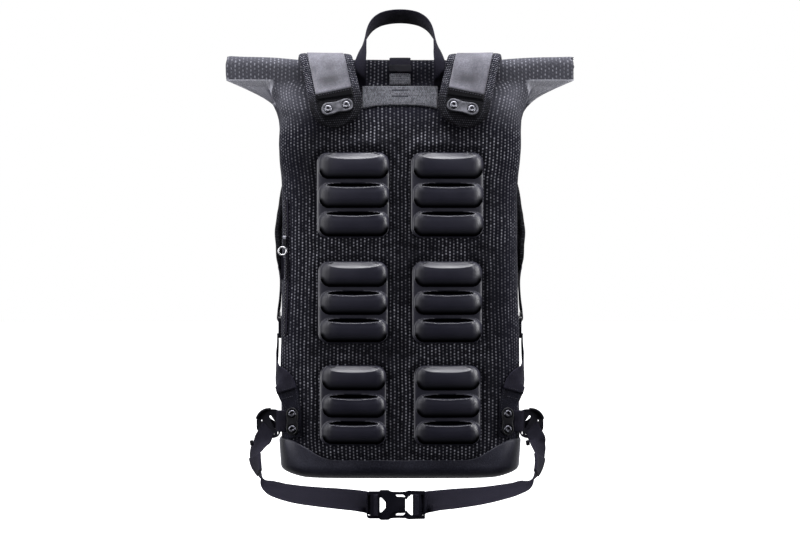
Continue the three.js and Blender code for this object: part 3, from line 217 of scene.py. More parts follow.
def wingCloth(add):
    # heavy plain-woven nylon folded and stitched at the corners, near black
    place = add("TexCoord", out="Object")
    weave = add("TexNoise", {"Vector": place, "Scale": 900, "Detail": 2, "Roughness": 0.6})
    cloud = add("TexNoise", {"Vector": place, "Scale": 45, "Detail": 3, "Roughness": 0.6})
    base = add("Mix", {0: add("MapRange", [cloud, 0.35, 0.7]), 6: "0a0a12", 7: "1c1c28"}, 2, data_type="RGBA")
    yarn = add("MapRange", [weave, 0.5, 0.7, 0.0, 0.5])
    return {
        "Base Color": add("Mix", {0: yarn, 6: base, 7: "3a3a46"}, 2, data_type="RGBA"),
        "Normal": add("Bump", {"Height": weave, "Distance": 0.0002, "Strength": 1.0}),
    }


def mouldedFoam(add):
    # EVA foam pressed in a mould: a smooth skin with broad soft highlights; the attribute set on the mesh is
    # painted shade: 1 in the slots, less on the undersides, the inner ends and the tray
    place = add("TexCoord", out="Object")
    deep = add("Attribute", out="Fac", attribute_name="paintedLightAndTone")
    skin = add("TexNoise", {"Vector": place, "Scale": 1400, "Detail": 2, "Roughness": 0.5})
    cloud = add("TexNoise", {"Vector": place, "Scale": 30, "Detail": 3, "Roughness": 0.5})
    body = add("Mix", {0: cloud, 6: "22222f", 7: "302f3e"}, 2, data_type="RGBA")
    dull = add("Math", [deep, 0.4], operation="MULTIPLY")
    rough = add("Math", [add("MapRange", [cloud, 0.3, 0.7, 0.36, 0.44]), dull], operation="ADD")
    # painted shade: near black, duller and without shine where the attribute is high
    return {
        "Base Color": add("Mix", {0: deep, 6: body, 7: "010102"}, 2, data_type="RGBA"),
        "Roughness": rough,
        "Specular IOR Level": add("MapRange", [deep, 0.0, 1.0, 0.85, 0.0]),
        "Normal": add("Bump", {"Height": skin, "Distance": 0.00006, "Strength": 0.7}),
    }


def spacerMesh(add):
    # knitted spacer mesh with a ribbed binding: dark, with short pale dashes of thread; the knit is drawn
    # at 2.4 mm so that it shows; the attribute is 1 on the binding, its own lighter cloth, and painted shade
    # lower down
    pitch = 2.4
    u, v = clothPlace(add)
    paintedLightAndTone = add("Attribute", out="Fac", attribute_name="paintedLightAndTone")
    row = cellNumber(add, v, pitch)
    odd = add("Math", [row, 2.0], operation="MODULO")
    across = add("Math", [u, add("Math", [odd, pitch / 2], operation="MULTIPLY")], operation="ADD")
    a, b = fromMiddle(add, across, pitch), fromMiddle(add, v, pitch)
    wide, tall = (add("Math", [c, c], operation="MULTIPLY") for c in (a, b))
    tall = add("Math", [tall, 3.0], operation="MULTIPLY")
    away = add("Math", [add("Math", [wide, tall], operation="ADD")], operation="SQRT")
    chance = cellChance(add, cellNumber(add, across, pitch), row)
    dash = add("MapRange", [away, 0.46, 0.2])
    for value, least in ((chance, 0.15), (paintedLightAndTone, 0.05)):
        share = add("MapRange", [value, 0.0, 1.0, least, 1.0])
        dash = add("Math", [dash, share], operation="MULTIPLY")
    cloud = add("TexNoise", {"Vector": add("TexCoord", out="Object"), "Scale": 60})
    binding = add("Mix", {0: cloud, 6: "101018", 7: "24242f"}, 2, data_type="RGBA")
    # painted shade: lower down the binding is painted near black like the middle
    body = add("Mix", {0: paintedLightAndTone, 6: "050509", 7: binding}, 2, data_type="RGBA")
    return {
        "Base Color": add("Mix", {0: dash, 6: body, 7: "a2a2ae"}, 2, data_type="RGBA"),
        "Normal": add("Bump", {"Height": dash, "Distance": 0.0005, "Strength": 1.0}),
    }


def strapCloth(add):
    # grey polyester satin on the outer side of the straps, dark at its folded hem
    u, v = clothPlace(add)
    place = add("TexCoord", out="Object")
    slant = add("Math", [u, add("Math", [v, 0.7], operation="MULTIPLY")], operation="ADD")
    twill = stripe(add, slant, 1.1, 0.6, 0.4)
    cloud = add("TexNoise", {"Vector": place, "Scale": 38, "Detail": 3, "Roughness": 0.6})
    grain = add("TexNoise", {"Vector": place, "Scale": 620, "Detail": 2, "Roughness": 0.6})
    # painted shade: a darker band across the face where the strap leaves the shoulder
    fromBand = add("Math", [add("Math", [v, 25.0], operation="SUBTRACT")], operation="ABSOLUTE")
    fromLine = add("Math", [add("Math", [u, 2.0], operation="ADD")], operation="ABSOLUTE")
    wearAndPaintedShade = add("Math", [add("MapRange", [fromBand, 12.0, 2.0, 0.0, 0.85]),
                          add("MapRange", [fromLine, 19.0, 6.0, 0.15, 1.0])], operation="MULTIPLY")
    hem = add("MapRange", [v, 12.0, 8.5])
    grey = add("Mix", {0: add("MapRange", [cloud, 0.3, 0.7]), 6: "5a5964", 7: "93929f"}, 2, data_type="RGBA")
    for share, tone in ((add("MapRange", [grain, 0.4, 0.62, 0.0, 0.45]), "3c3b46"),
                        (add("Math", [twill, 0.35], operation="MULTIPLY"), "4b4a52"),
                        (wearAndPaintedShade, "2b2a34"), (hem, "050509")):
        grey = add("Mix", {0: share, 6: grey, 7: tone}, 2, data_type="RGBA")
    height = add("Math", [twill, add("Math", [cloud, 2.0], operation="MULTIPLY")], operation="ADD")
    return {
        "Base Color": grey,
        "Roughness": add("MapRange", [hem, 0.0, 1.0, 0.5, 0.95]),
        "Specular IOR Level": add("MapRange", [hem, 0.0, 1.0, 0.4, 0.02]),
        "Normal": add("Bump", {"Height": height, "Distance": 0.00025, "Strength": 1.0}),
    }


def yokeCloth(add):
    # coarse grey herringbone: rows of slanting floats, 1.9 mm apart
    u, v = clothPlace(add)
    zigzag = add("Math", [add("Math", [u, 1.1], operation="PINGPONG"), 2.0], operation="MULTIPLY")
    side = add("Math", [zigzag, 1.1], operation="SUBTRACT")
    slant = stripe(add, add("Math", [v, side], operation="ADD"), 1.9, 0.95, 0.4)
    chance = cellChance(add, cellNumber(add, u, 1.1), cellNumber(add, v, 1.9))
    light = add("Mix", {0: chance, 6: "54555d", 7: "94959f"}, 2, data_type="RGBA")
    return {
        "Base Color": add("Mix", {0: slant, 6: "1e1e24", 7: light}, 2, data_type="RGBA"),
        "Normal": add("Bump", {"Height": slant, "Distance": 0.00035, "Strength": 1.0}),
    }


def nylonWebbing(add):
    # nylon webbing in a twill of 1.6 mm, with plain edges painted a little lighter as a highlight
    u, v = clothPlace(add)
    side = add("Math", [u, 6.2], operation="PINGPONG")
    twill = stripe(add, add("Math", [v, side], operation="ADD"), 1.6, 0.8, 0.5)
    edge = add("MapRange", [add("Math", [u], operation="ABSOLUTE"), 10.6, 11.6])
    place = add("TexCoord", out="Object")
    cloud = add("TexNoise", {"Vector": place, "Scale": 45, "Detail": 3, "Roughness": 0.6})
    woven = add("Math", [twill, 0.9], operation="MULTIPLY")
    body = add("Mix", {0: woven, 6: "0b0a13", 7: "282635"}, 2, data_type="RGBA")
    # random cloud, then the plain edges painted lighter as a highlight
    for share, tone in ((add("MapRange", [cloud, 0.5, 0.8, 0.0, 0.5]), "22202d"),
                        (add("Math", [edge, 0.5], operation="MULTIPLY"), "262432")):
        body = add("Mix", {0: share, 6: body, 7: tone}, 2, data_type="RGBA")
    height = add("Math", [twill, edge], operation="MAXIMUM")
    return {
        "Base Color": body,
        "Normal": add("Bump", {"Height": height, "Distance": 0.0003, "Strength": 1.0}),
    }


def acetal(add):
    # injection-moulded acetal: black, satin, with a faint spark-eroded grain
    place = add("TexCoord", out="Object")
    grain = add("TexNoise", {"Vector": place, "Scale": 1800})
    cloud = add("TexNoise", {"Vector": place, "Scale": 70, "Detail": 3})
    return {
        "Base Color": add("Mix", {0: cloud, 6: "0e0d14", 7: "181722"}, 2, data_type="RGBA"),
        "Roughness": add("MapRange", [cloud, 0.3, 0.7, 0.24, 0.34]),
        "Normal": add("Bump", {"Height": grain, "Distance": 0.00005, "Strength": 0.6}),
    }


def castPlate(add, dark, light):
    # a small metal plate with a satin finish, lighter where it is rubbed
    place = add("TexCoord", out="Object")
    cloud = add("TexNoise", {"Vector": place, "Scale": 160, "Detail": 4, "Roughness": 0.6})
    grain = add("TexNoise", {"Vector": place, "Scale": 2200})
    wearAndPaintedShade = add("MapRange", [cloud, 0.4, 0.65])
    return {
        "Base Color": add("Mix", {0: wearAndPaintedShade, 6: dark, 7: light}, 2, data_type="RGBA"),
        "Roughness": add("MapRange", [cloud, 0.3, 0.7, 0.3, 0.45]),
        "Normal": add("Bump", {"Height": grain, "Distance": 0.00003, "Strength": 0.5}),
    }


def turnedSteel(add, smoothest, roughest):
    # stainless steel screws and rings, polished by turning
    cloud = add("TexNoise", {"Vector": add("TexCoord", out="Object"), "Scale": 400, "Detail": 3})
    return {"Roughness": add("MapRange", [cloud, 0.3, 0.7, smoothest, roughest])}


def sewingThread(add, dark, light):
    # bonded nylon thread, a little uneven in colour
    cloud = add("TexNoise", {"Vector": add("TexCoord", out="Object"), "Scale": 300})
    return {"Base Color": add("Mix", {0: cloud, 6: dark, 7: light}, 2, data_type="RGBA")}


finishes = {
    "reflective": makeMaterial("reflectiveCloth", reflectiveCloth, "0e0e16", 0.8, specular=0.09),
    "coated": makeMaterial("coatedCloth", coatedCloth, "15151d", 0.5),
    "wingCloth": makeMaterial("wingCloth", wingCloth, "0c0c14", 0.8, specular=0.12),
    "foam": makeMaterial("mouldedFoam", mouldedFoam, "2c2c39", 0.4),
    "mesh": makeMaterial("spacerMesh", spacerMesh, "14141b", 0.85, specular=0.1),
    "strapCloth": makeMaterial("strapCloth", strapCloth, "77767f", 0.5, specular=0.4, sheen=0.1),
    "yoke": makeMaterial("yokeCloth", yokeCloth, "5d5e64", 0.8, specular=0.25, sheen=0.1),
    "webbing": makeMaterial("nylonWebbing", nylonWebbing, "14131c", 0.7, specular=0.13),
    "acetal": makeMaterial("acetal", acetal, "121117", 0.32, specular=0.7),
    "strapPlate": makeMaterial("satinPlate", castPlate, "4a4a50", 0.38, 0.6, tones=("4a4a50", "74747c")),
    "wingPlate": makeMaterial("blackPlate", castPlate, "08080d", 0.38, 0.1, tones=("08080d", "121219")),
    "steel": makeMaterial("turnedSteel", turnedSteel, "84848c", 0.34, 1.0, tones=(0.28, 0.42)),
    "ringSteel": makeMaterial("ringSteel", turnedSteel, "e8e8ec", 0.42, 1.0, tones=(0.36, 0.5)),
    "blackSteel": makeMaterial("blackSteel", turnedSteel, "66666e", 0.28, 1.0, tones=(0.22, 0.36)),
    "thread": makeMaterial("sewingThread", sewingThread, "202029", 0.6, specular=0.35,
                           tones=("202029", "3c3c48")),
    "paleThread": makeMaterial("paleThread", sewingThread, "6a6a74", 0.6, specular=0.35,
                               tones=("6a6a74", "9a9aa6")),
}
print("materials made")


# Mesh tools

def shapedGrid(columns, rows, place, cut, paintedLightAndTone=None):
    # a grid whose vertices are moved to where the cloth lies; cut gives millimetres on the flat cloth
    bm = bmesh.new()
    bmesh.ops.create_grid(bm, x_segments=columns, y_segments=rows, size=0.5)
    weave = bm.loops.layers.uv.new("weave")
    if paintedLightAndTone:
        layer = bm.verts.layers.float.new("paintedLightAndTone")
        for vert in bm.verts:
            vert[layer] = paintedLightAndTone(vert.co.x + 0.5, vert.co.y + 0.5)
    for face in bm.faces:
        for loop in face.loops:
            loop[weave].uv = cut(loop.vert.co.x + 0.5, loop.vert.co.y + 0.5)
    for vert in bm.verts:
        vert.co = place(vert.co.x + 0.5, vert.co.y + 0.5)
    bmesh.ops.remove_doubles(bm, verts=bm.verts, dist=1e-3)
    return bm


def closeEnds(bm):
    edges = [e for e in bm.edges if e.is_boundary]
    bmesh.ops.holes_fill(bm, edges=edges, sides=0)


def addRim(bm, depth):
    # a rim that runs back from the open edge, closed behind
    rim = [e for e in bm.edges if e.is_boundary]
    grown = bmesh.ops.extrude_edge_only(bm, edges=rim)["geom"]
    verts = [g for g in grown if isinstance(g, bmesh.types.BMVert)]
    bmesh.ops.translate(bm, vec=(0, depth, 0), verts=verts)
    closeEnds(bm)


def mirrored(bm):
    bmesh.ops.scale(bm, vec=(-1, 1, 1), verts=bm.verts)
    bmesh.ops.reverse_faces(bm, faces=bm.faces)


def addPiece(name, bm, finish, stands=(), bevel=0.0, segments=2):
    bmesh.ops.recalc_face_normals(bm, faces=bm.faces)
    bmesh.ops.scale(bm, vec=(0.001, 0.001, 0.001), verts=bm.verts)
    for face in bm.faces:
        face.smooth = True
    mesh = bpy.data.meshes.new(name)
    bm.to_mesh(mesh)
    bm.free()
    piece = bpy.data.objects.new(name, mesh)
    scene.collection.objects.link(piece)
    mesh.materials.append(finishes[finish])
    if bevel:
        edge = piece.modifiers.new("edge", "BEVEL")
        edge.width = bevel / 1000
        edge.segments = segments
        edge.limit_method = "ANGLE"
        edge.angle_limit = math.radians(35)
        edge.harden_normals = True
    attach(piece, "root")
    if stands:
        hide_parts(*stands)
    return piece


def joinInto(target, source):
    # copies a bmesh into another one
    mesh = bpy.data.meshes.new("passing")
    source.to_mesh(mesh)
    source.free()
    target.from_mesh(mesh)
    bpy.data.meshes.remove(mesh)


def rounded(corners, radius, steps):
    # a polygon with its corners rounded; radius may be one number or one for each corner
    points = []
    count = len(corners)
    for i, corner in enumerate(corners):
        here = Vector(corner)
        before, after = Vector(corners[i - 1]) - here, Vector(corners[(i + 1) % count]) - here
        r = radius[i] if isinstance(radius, (list, tuple)) else radius
        half = before.angle(after) / 2
        reach = min(r / math.tan(half), before.length * 0.48, after.length * 0.48) if r else 0
        if reach < 1e-3:
            points.append(here)
            continue
        start, end = here + before.normalized() * reach, here + after.normalized() * reach
        for k in range(steps + 1):
            t = k / steps
            points.append(start * (1 - t) ** 2 + here * 2 * t * (1 - t) + end * t * t)
    return points


def circle(x, z, radius, steps=28):
    turns = [2 * math.pi * k / steps for k in range(steps)]
    return [Vector((x + radius * math.cos(a), z + radius * math.sin(a))) for a in turns]


def rectangle(left, low, right, high):
    return [(left, low), (right, low), (right, high), (left, high)]


def cutSlab(outline, holes, thickness):
    # a flat plate about the plane y = 0, from its outline and holes in x and z
    bm = bmesh.new()
    for line in [outline, *holes]:
        verts = [bm.verts.new((p[0], 0, p[1])) for p in line]
        for i in range(len(verts)):
            bm.edges.new((verts[i - 1], verts[i]))
    bmesh.ops.triangle_fill(bm, edges=bm.edges[:], use_beauty=True)
    bmesh.ops.recalc_face_normals(bm, faces=bm.faces)
    grown = bmesh.ops.extrude_face_region(bm, geom=bm.faces[:])["geom"]
    top = [g for g in grown if isinstance(g, bmesh.types.BMVert)]
    bmesh.ops.translate(bm, vec=(0, thickness, 0), verts=top)
    bmesh.ops.translate(bm, vec=(0, -thickness / 2, 0), verts=bm.verts)
    return bm


def turnedShape(profile, steps):
    # a shape turned about y, from radius and depth; -y is outwards
    bm = bmesh.new()
    verts = [bm.verts.new((r, -d, 0)) for r, d in profile]
    edges = [bm.edges.new(pair) for pair in zip(verts, verts[1:])]
    bmesh.ops.spin(bm, geom=verts + edges, cent=(0, 0, 0), axis=(0, 1, 0), angle=2 * math.pi,
                   steps=steps, use_merge=True)
    bmesh.ops.remove_doubles(bm, verts=bm.verts, dist=1e-4)
    return bm


def placeAt(bm, point, across, outward):
    # x along across, -y along outward
    x = across.normalized()
    y = -(outward - x * outward.dot(x)).normalized()
    turn = Matrix((x, y, x.cross(y))).transposed().to_4x4()
    bmesh.ops.transform(bm, matrix=Matrix.Translation(point) @ turn, verts=bm.verts)


# Routes of straps and webbing: x, y, z, the direction across, width

def smoothRoute(rows, step, width=0):
    # a smooth curve through every row, read at even steps; the width stands for one that a row leaves out
    rows = [[float(v) for v in (*r, width)[:7]] for r in rows]
    points = [Vector(r[:3]) for r in rows]
    runs = [0.0]
    for a, b in zip(points, points[1:]):
        runs.append(runs[-1] + (b - a).length)
    slopes = []
    for i in range(len(rows)):
        low, high = max(i - 1, 0), min(i + 1, len(rows) - 1)
        if low == i or high == i:
            slopes.append([(b - a) / (runs[high] - runs[low]) for a, b in zip(rows[low], rows[high])])
            continue
        h0, h1 = runs[i] - runs[low], runs[high] - runs[i]
        slopes.append([((b - a) / h0 * h1 + (c - b) / h1 * h0) / (h0 + h1)
                       for a, b, c in zip(rows[low], rows[i], rows[high])])
    out = []
    count = max(2, round(runs[-1] / step))
    k = 0
    for n in range(count + 1):
        ask = runs[-1] * n / count
        while k < len(rows) - 2 and runs[k + 1] < ask:
            k += 1
        h = runs[k + 1] - runs[k]
        t = clamp((ask - runs[k]) / h)
        t2, t3 = t * t, t * t * t
        row = [(2 * t3 - 3 * t2 + 1) * a + (t3 - 2 * t2 + t) * h * ma + (3 * t2 - 2 * t3) * b
               + (t3 - t2) * h * mb
               for a, b, ma, mb in zip(rows[k], rows[k + 1], slopes[k], slopes[k + 1])]
        out.append({"point": Vector(row[:3]), "across": Vector(row[3:6]), "width": row[6], "along": ask})
    for i, section in enumerate(out):
        run = out[min(i + 1, count)]["point"] - out[max(i - 1, 0)]["point"]
        run.normalize()
        across = section["across"]
        across = (across - run * across.dot(run)).normalized()
        section.update(across=across, normal=across.cross(run).normalized(), run=run)
    return out


def sectionAt(route, z):
    # the place on a route that is nearest to a height
    return min(route, key=lambda s: abs(s["point"].z - z))


def sweepBand(route, columns, profile, paintedLightAndTone=None):
    # a closed band along a route; profile gives how far across and how far out at a share of its girth
    last = len(route) - 1

    def place(u, v):
        section = route[round(v * last)]
        a, n = profile(u % 1.0, section)
        return section["point"] + section["across"] * a + section["normal"] * n

    def cut(u, v):
        section = route[round(v * last)]
        return profile(u % 1.0 if u < 1 else 0.9999, section)[0], section["along"]

    bm = shapedGrid(columns, last, place, cut, paintedLightAndTone)
    closeEnds(bm)
    return bm


def webbingProfile(thick):
    def profile(u, section):
        half, t = section["width"] / 2, thick / 2
        if u < 0.46:
            a = mix(half, -half, u / 0.46)
            n = t
        elif u < 0.5:
            a, n = -half - 0.25 * t, mix(t, -t, (u - 0.46) / 0.04)
        elif u < 0.96:
            a = mix(-half, half, (u - 0.5) / 0.46)
            n = -t
        else:
            a, n = half + 0.25 * t, mix(-t, t, (u - 0.96) / 0.04)
        return a, n * (1 - 0.35 * abs(a / half) ** 10)
    return profile


def flipX(rows):
    return [[-r[0], r[1], r[2], -r[3], r[4], r[5], *r[6:]] for r in rows]


def onSide(side, rows):
    # rows are written for the side where x is positive
    return rows if side > 0 else flipX(rows)


def stitch(bm, point, run, out, length, wide):
    # one stitch of thread lying on the cloth
    side = run.cross(out).normalized()
    turn = Matrix((run * length / 2, side * wide / 2, out.normalized() * wide / 2)).transposed().to_4x4()
    bmesh.ops.create_icosphere(bm, subdivisions=1, radius=1.0, matrix=Matrix.Translation(point) @ turn)


def stitchAlong(bm, points, outs, pitch, length, wide):
    left = pitch / 2
    for (a, b), out in zip(zip(points, points[1:]), outs):
        run = b - a
        reach = run.length
        if reach < 1e-6:
            continue
        while left < reach:
            stitch(bm, a + run * (left / reach), run.normalized(), out, length, wide)
            left += pitch
        left -= reach


# Bag: one cloth from the base to the end of the roll

hang = Vector((0, 45.11, -550.67))  # from the middle of the base to the model's origin
bag = {
    "halfWidth": 143, "depth": 178, "mouthZ": 472, "foot": 14.1, "baseRadius": 12,
    "backRadius": 28, "frontRadius": 48, "backCamber": 9, "frontCamber": 11,
    "mouthThick": 3.2, "rollBack": -56, "rollHeight": 25, "rollDepth": 24, "rollTurns": 1.75,
    "layer": 3.7, "smile": 5, "columns": 330, "levels": 170,
    "creaseRun": 157, "creaseZ": 437, "creaseDepth": 9, "rollSpread": 1.024, "rollRise": 1.6,
    "start": 8, "crumple": 1.1, "strapDip": 2.6, "strapX": 92,
    "padRim": 2.0, "topRidge": 2.6, "channel": 2.2, "broadFold": 2.2, "smallFold": 0.9, "pleat": 2.3,
    # dents and a swell beside the back: left, right, height and its reach, run and its reach
    "dents": [(-2.4, -0.84, 426, 7, 150, 24), (-1.6, -0.64, 360, 9, 155, 26), (1.6, 0.4, 395, 18, 156, 30)],
    # height, width, back, front, corners, camber, how flat
    "rows": [(0, 0.985, 0.93, 0.92, 1, 0.7, 0), (0.073, 1, 0.96, 0.97, 1, 0.85, 0),
             (0.247, 1, 0.99, 1, 1, 1, 0), (0.443, 0.985, 1, 1, 1, 1, 0),
             (0.618, 0.98, 0.99, 0.97, 1, 1, 0), (0.727, 0.985, 0.975, 0.88, 1, 0.95, 0),
             (0.814, 1.01, 0.95, 0.7, 0.95, 0.8, 0), (0.887, 1.005, 0.91, 0.42, 0.9, 0.6, 0),
             (0.943, 1.03, 0.83, 0.02, 0.8, 0.4, 0.02), (0.969, 1.04, 0.76, -0.18, 0.7, 0.25, 0.42),
             (0.987, 1.04, 0.7, -0.36, 0.6, 0.12, 0.76), (1, 1.04, 0.64, -0.5, 0.5, 0, 1)],
}
pads = {
    "x": 55.8, "base": 1.8, "relief": 9.2, "corner": 13, "gap": 4.8, "outerGap": 0.6, "innerGap": 3.0,
    "rim": 2.5, "columns": 96, "levels": 170,
    "round": 11.5, "turn": 12,  # a cushion's corners and the width of its rounded edge
    "facet": (3.9, 4.3), "slot": (2.8, 3.0), "cutWidth": 0.76,  # middle and reach below its upper edge
    # centre above the base, width, height
    "rows": {"top": (334, 86, 101), "middle": (207, 83, 97), "bottom": (85, 79, 95)},
}


def bagRow(z):
    # the outline's sizes at a height, averaged a little so that no row shows as a crease
    share = clamp((z - bag["foot"]) / (bag["mouthZ"] - bag["foot"]))
    reach = 0.022 * clamp((1 - share) / 0.03) * clamp(share / 0.03)
    taps = [readTable(bag["rows"], share + reach * k) for k in (-1, -0.5, 0, 0.5, 1)]
    width, back, front, corners, camber, flat = (sum(t[i] for t in taps) / 5 for i in range(6))
    half = bag["depth"] / 2
    return {
        "half": bag["halfWidth"] * width,
        "back": bag["backCamber"] * camber - half * back,
        "front": half * front - bag["frontCamber"] * camber,
        "rb": bag["backRadius"] * corners, "rf": bag["frontRadius"] * corners,
        "cb": bag["backCamber"] * camber, "cf": bag["frontCamber"] * camber, "flat": flat,
    }


zoneRuns = [113.3, 156.8, 238.8, 313.3, 407.0]  # cloth from the middle of the back to each zone's end
foldRun, halfGirth = 197.8, 407.0


def outlinePoint(run, row, out):
    # x and y of the full outline on the side where x is positive
    depth = row["front"] - row["back"]
    shrink = min(1, 0.96 * depth / (row["rb"] + row["rf"]))
    rb, rf = row["rb"] * shrink + out, row["rf"] * shrink + out
    wide, yb, yf = row["half"] + out, row["back"] - out, row["front"] + out
    if run <= zoneRuns[0]:
        t = run / zoneRuns[0]
        return t * (wide - rb), yb - row["cb"] * (1 - t * t)
    if run <= zoneRuns[1]:
        a = (run - zoneRuns[0]) / (zoneRuns[1] - zoneRuns[0]) * math.pi / 2
        return wide - rb + rb * math.sin(a), yb + rb - rb * math.cos(a)
    if run <= zoneRuns[2]:
        t = (run - zoneRuns[1]) / (zoneRuns[2] - zoneRuns[1])
        return wide + 1.5 * math.sin(math.pi * t), mix(yb + rb, yf - rf, t)
    if run <= zoneRuns[3]:
        a = (zoneRuns[3] - run) / (zoneRuns[3] - zoneRuns[2]) * math.pi / 2
        return wide - rf + rf * math.sin(a), yf - rf + rf * math.cos(a)
    t = (halfGirth - run) / (halfGirth - zoneRuns[3])
    return t * (wide - rf), yf + row["cf"] * (1 - t * t)


def flatPlace(run):
    # share of the mouth's half width, and which wall
    back = run <= foldRun
    return (run / foldRun if back else (halfGirth - run) / (halfGirth - foldRun)), back


def padDistance(x, z):
    # how far a place on the back is from the edge of the nearest pad, negative on it
    nearest = 1e9
    for centre, width, height in pads["rows"].values():
        dx = abs(abs(x) - pads["x"]) - width / 2 + pads["corner"]
        dz = abs(z - centre) - height / 2 + pads["corner"]
        outside = math.hypot(max(dx, 0), max(dz, 0)) + min(max(dx, dz), 0) - pads["corner"]
        nearest = min(nearest, outside)
    return nearest


def backRelief(x, z):
    # the back is moulded round the pads: a soft rim about each and a channel between the columns
    away = padDistance(x, z)
    rim = bag["padRim"] * hump(away, 8, 5.5) * ease((away + 1) / 5)
    above = bag["topRidge"] * hump(z, 398, 7) * hump(abs(x), 52, 42)
    channel = -bag["channel"] * hump(x, 0, 8) * ease((z - 30) / 25) * ease((412 - z) / 30)
    return rim + above + channel


def folds(side, run, z):
    # dents and creases: soft ones everywhere, sharper ones where the ears turn out
    at = Vector((side * run / 70, z / 95, 3.1))
    soft = bag["broadFold"] * noise.noise(at) + bag["smallFold"] * noise.noise(at * 2.7)
    face = ease((run - 95) / 60)
    root = hump(z, 446, 15) * hump(run, foldRun - 22, 42)
    pleat = bag["pleat"] * root * math.sin((run - foldRun) / 6.5 + (z - 440) / 9 + side)
    dents = sum((left if side < 0 else right) * hump(z, up, high) * hump(run, along, wide)
                for left, right, up, high, along, wide in bag["dents"])
    return soft * (0.25 + 0.75 * face) + pleat + dents


def creaseAt(z):
    # the crease runs inwards as it rises
    return mix(bag["creaseRun"], bag["creaseRun"] - 14, ease((z - 448) / 22))


def bagPoint(run, z, out=0.0, worn=True):
    # a place on the cloth, from its run round the bag (negative on the left) and its height
    side, run = (-1 if run < 0 else 1), abs(run)
    row = bagRow(z)
    x, y = outlinePoint(run, row, out)
    if worn:
        ahead, behind = (outlinePoint(clamp(run + k, 0, halfGirth), row, out) for k in (1, -1))
        along = Vector((ahead[0] - behind[0], ahead[1] - behind[1])).normalized()
        lift = folds(side, run, z) * ease((z - 14) / 40) * (1 - row["flat"])
        if run < zoneRuns[0] + 20:
            lift = mix(lift, 0.3 * lift, ease((zoneRuns[0] + 20 - run) / 40)) + backRelief(x, z)
        x += along.y * lift
        y -= along.x * lift
        # the back's cloth ends in an upright edge, and the gusset beside it lies further back
        up = ease((z - bag["creaseZ"]) / 16)
        y += bag["creaseDepth"] * up * ease((run - creaseAt(z)) / 5) * ease((foldRun + 6 - run) / 20)
    share, back = flatPlace(run)
    wall = bag["mouthThick"] / 2 + out
    flatX = share * (halfGirth / 2 + out) * bag["rollSpread"]
    flatY = bag["rollBack"] + bag["mouthThick"] / 2 + (-wall if back else wall)
    x, y = mix(x, flatX, row["flat"]), mix(y, flatY, row["flat"])
    return Vector((side * x, y, z)) + hang


def panelY(x, z):
    # the back's outer face, z above the base
    row = bagRow(z)
    t = min(1, abs(x) / (row["half"] - row["rb"]))
    return row["back"] - row["cb"] * (1 - t * t) - backRelief(x, z)


def rollPath():
    middleY = bag["rollBack"] + bag["rollDepth"] / 2
    middleZ = bag["mouthZ"] + bag["rollHeight"] / 2
    deep = (bag["rollDepth"] - bag["mouthThick"]) / 2
    high = (bag["rollHeight"] - bag["mouthThick"]) / 2
    steps = 88
    path = [Vector((middleY - deep, bag["mouthZ"] + k * 1.6)) for k in range(4)]
    for i in range(steps + 1):
        turn = bag["rollTurns"] * i / steps
        angle = 2 * math.pi * turn
        shrink = bag["layer"] * turn
        path.append(Vector((middleY - (deep - shrink) * math.cos(angle),
                            middleZ + (high - shrink) * math.sin(angle))))
    return path


def makeBag():
    roll = rollPath()
    levels = bag["levels"]
    rows = levels + len(roll) - 1
    tops = [mix(bag["start"], bag["mouthZ"], 1 - (1 - i / levels) ** 1.35) for i in range(levels + 1)]
    runs = [0.0]
    for a, b in zip(roll, roll[1:]):
        runs.append(runs[-1] + (b - a).length)

    def place(u, v):
        k = round(v * rows)
        run = (u - 0.5) * 2 * halfGirth
        if k <= levels:
            z = tops[k]
            if z < bag["foot"]:
                return bagPoint(run, bag["foot"], -0.2, False) + Vector((0, 0, z - bag["foot"]))
            return bagPoint(run, z)
        i = k - levels
        here = roll[i]
        before, after = roll[max(i - 1, 0)], roll[min(i + 1, len(roll) - 1)]
        along = (after - before).normalized()
        side = -1 if run < 0 else 1
        share, back = flatPlace(abs(run))
        wall = bag["mouthThick"] / 2
        lift = wall if back else -wall
        if share > 0.97:
            lift *= math.sqrt(max(0, 1 - ((share - 0.97) / 0.03) ** 2))
        grow = ease(i / 8)
        high = bag["rollRise"] * ease((here.y - bag["mouthZ"]) / 14)
        crumple = bag["crumple"] * noise.noise(Vector((side * share * 5.5, i / 9, 1.7)))
        crumple *= grow * (0.3 + 0.7 * share)
        end = 3.2 * noise.noise(Vector((side * 3.0, i / 7, 9.2))) * share ** 6 * grow
        # the straps press the roll down
        press = hump(share * halfGirth / 2, bag["strapX"], 30) * ease((here.y - bag["mouthZ"] - 6) / 14)
        high -= bag["strapDip"] * press
        rise = bag["smile"] * share * share * grow
        return Vector((side * (share * halfGirth / 2 * bag["rollSpread"] + end),
                       here.x - along.y * (lift + crumple),
                       here.y + along.x * (lift + crumple) + rise + high)) + hang

    def cut(u, v):
        k = round(v * rows)
        run = (u - 0.5) * 2 * halfGirth
        return run, (tops[k] if k <= levels else bag["mouthZ"] + runs[k - levels])

    def paintedLightAndTone(u, v):
        # painted light: the ears and the gussets below them lie turned to the light, the sides a little, so
        # they are painted lighter
        k = round(v * rows)
        run = abs((u - 0.5) * 2 * halfGirth)
        z = tops[k] if k <= levels else bag["mouthZ"] + 12
        top = ease((z - 395) / 60)
        outer = ease((min(run, halfGirth - 40) - 40) / 130)
        value = 0.12 + 0.22 * ease((run - 92) / 40) + top * (0.35 + 0.9 * outer)
        gusset = ease((z - 440) / 10) * ease((run - creaseAt(z)) / 5) * ease((foldRun + 62 - run) / 20)
        return value + (4.5 * gusset if k <= levels else 0)

    bm = shapedGrid(bag["columns"], rows, place, cut, paintedLightAndTone)
    closeEnds(bm)
    return addPiece("bagCloth", bm, "reflective", ("bag_shell", "roll_top"))


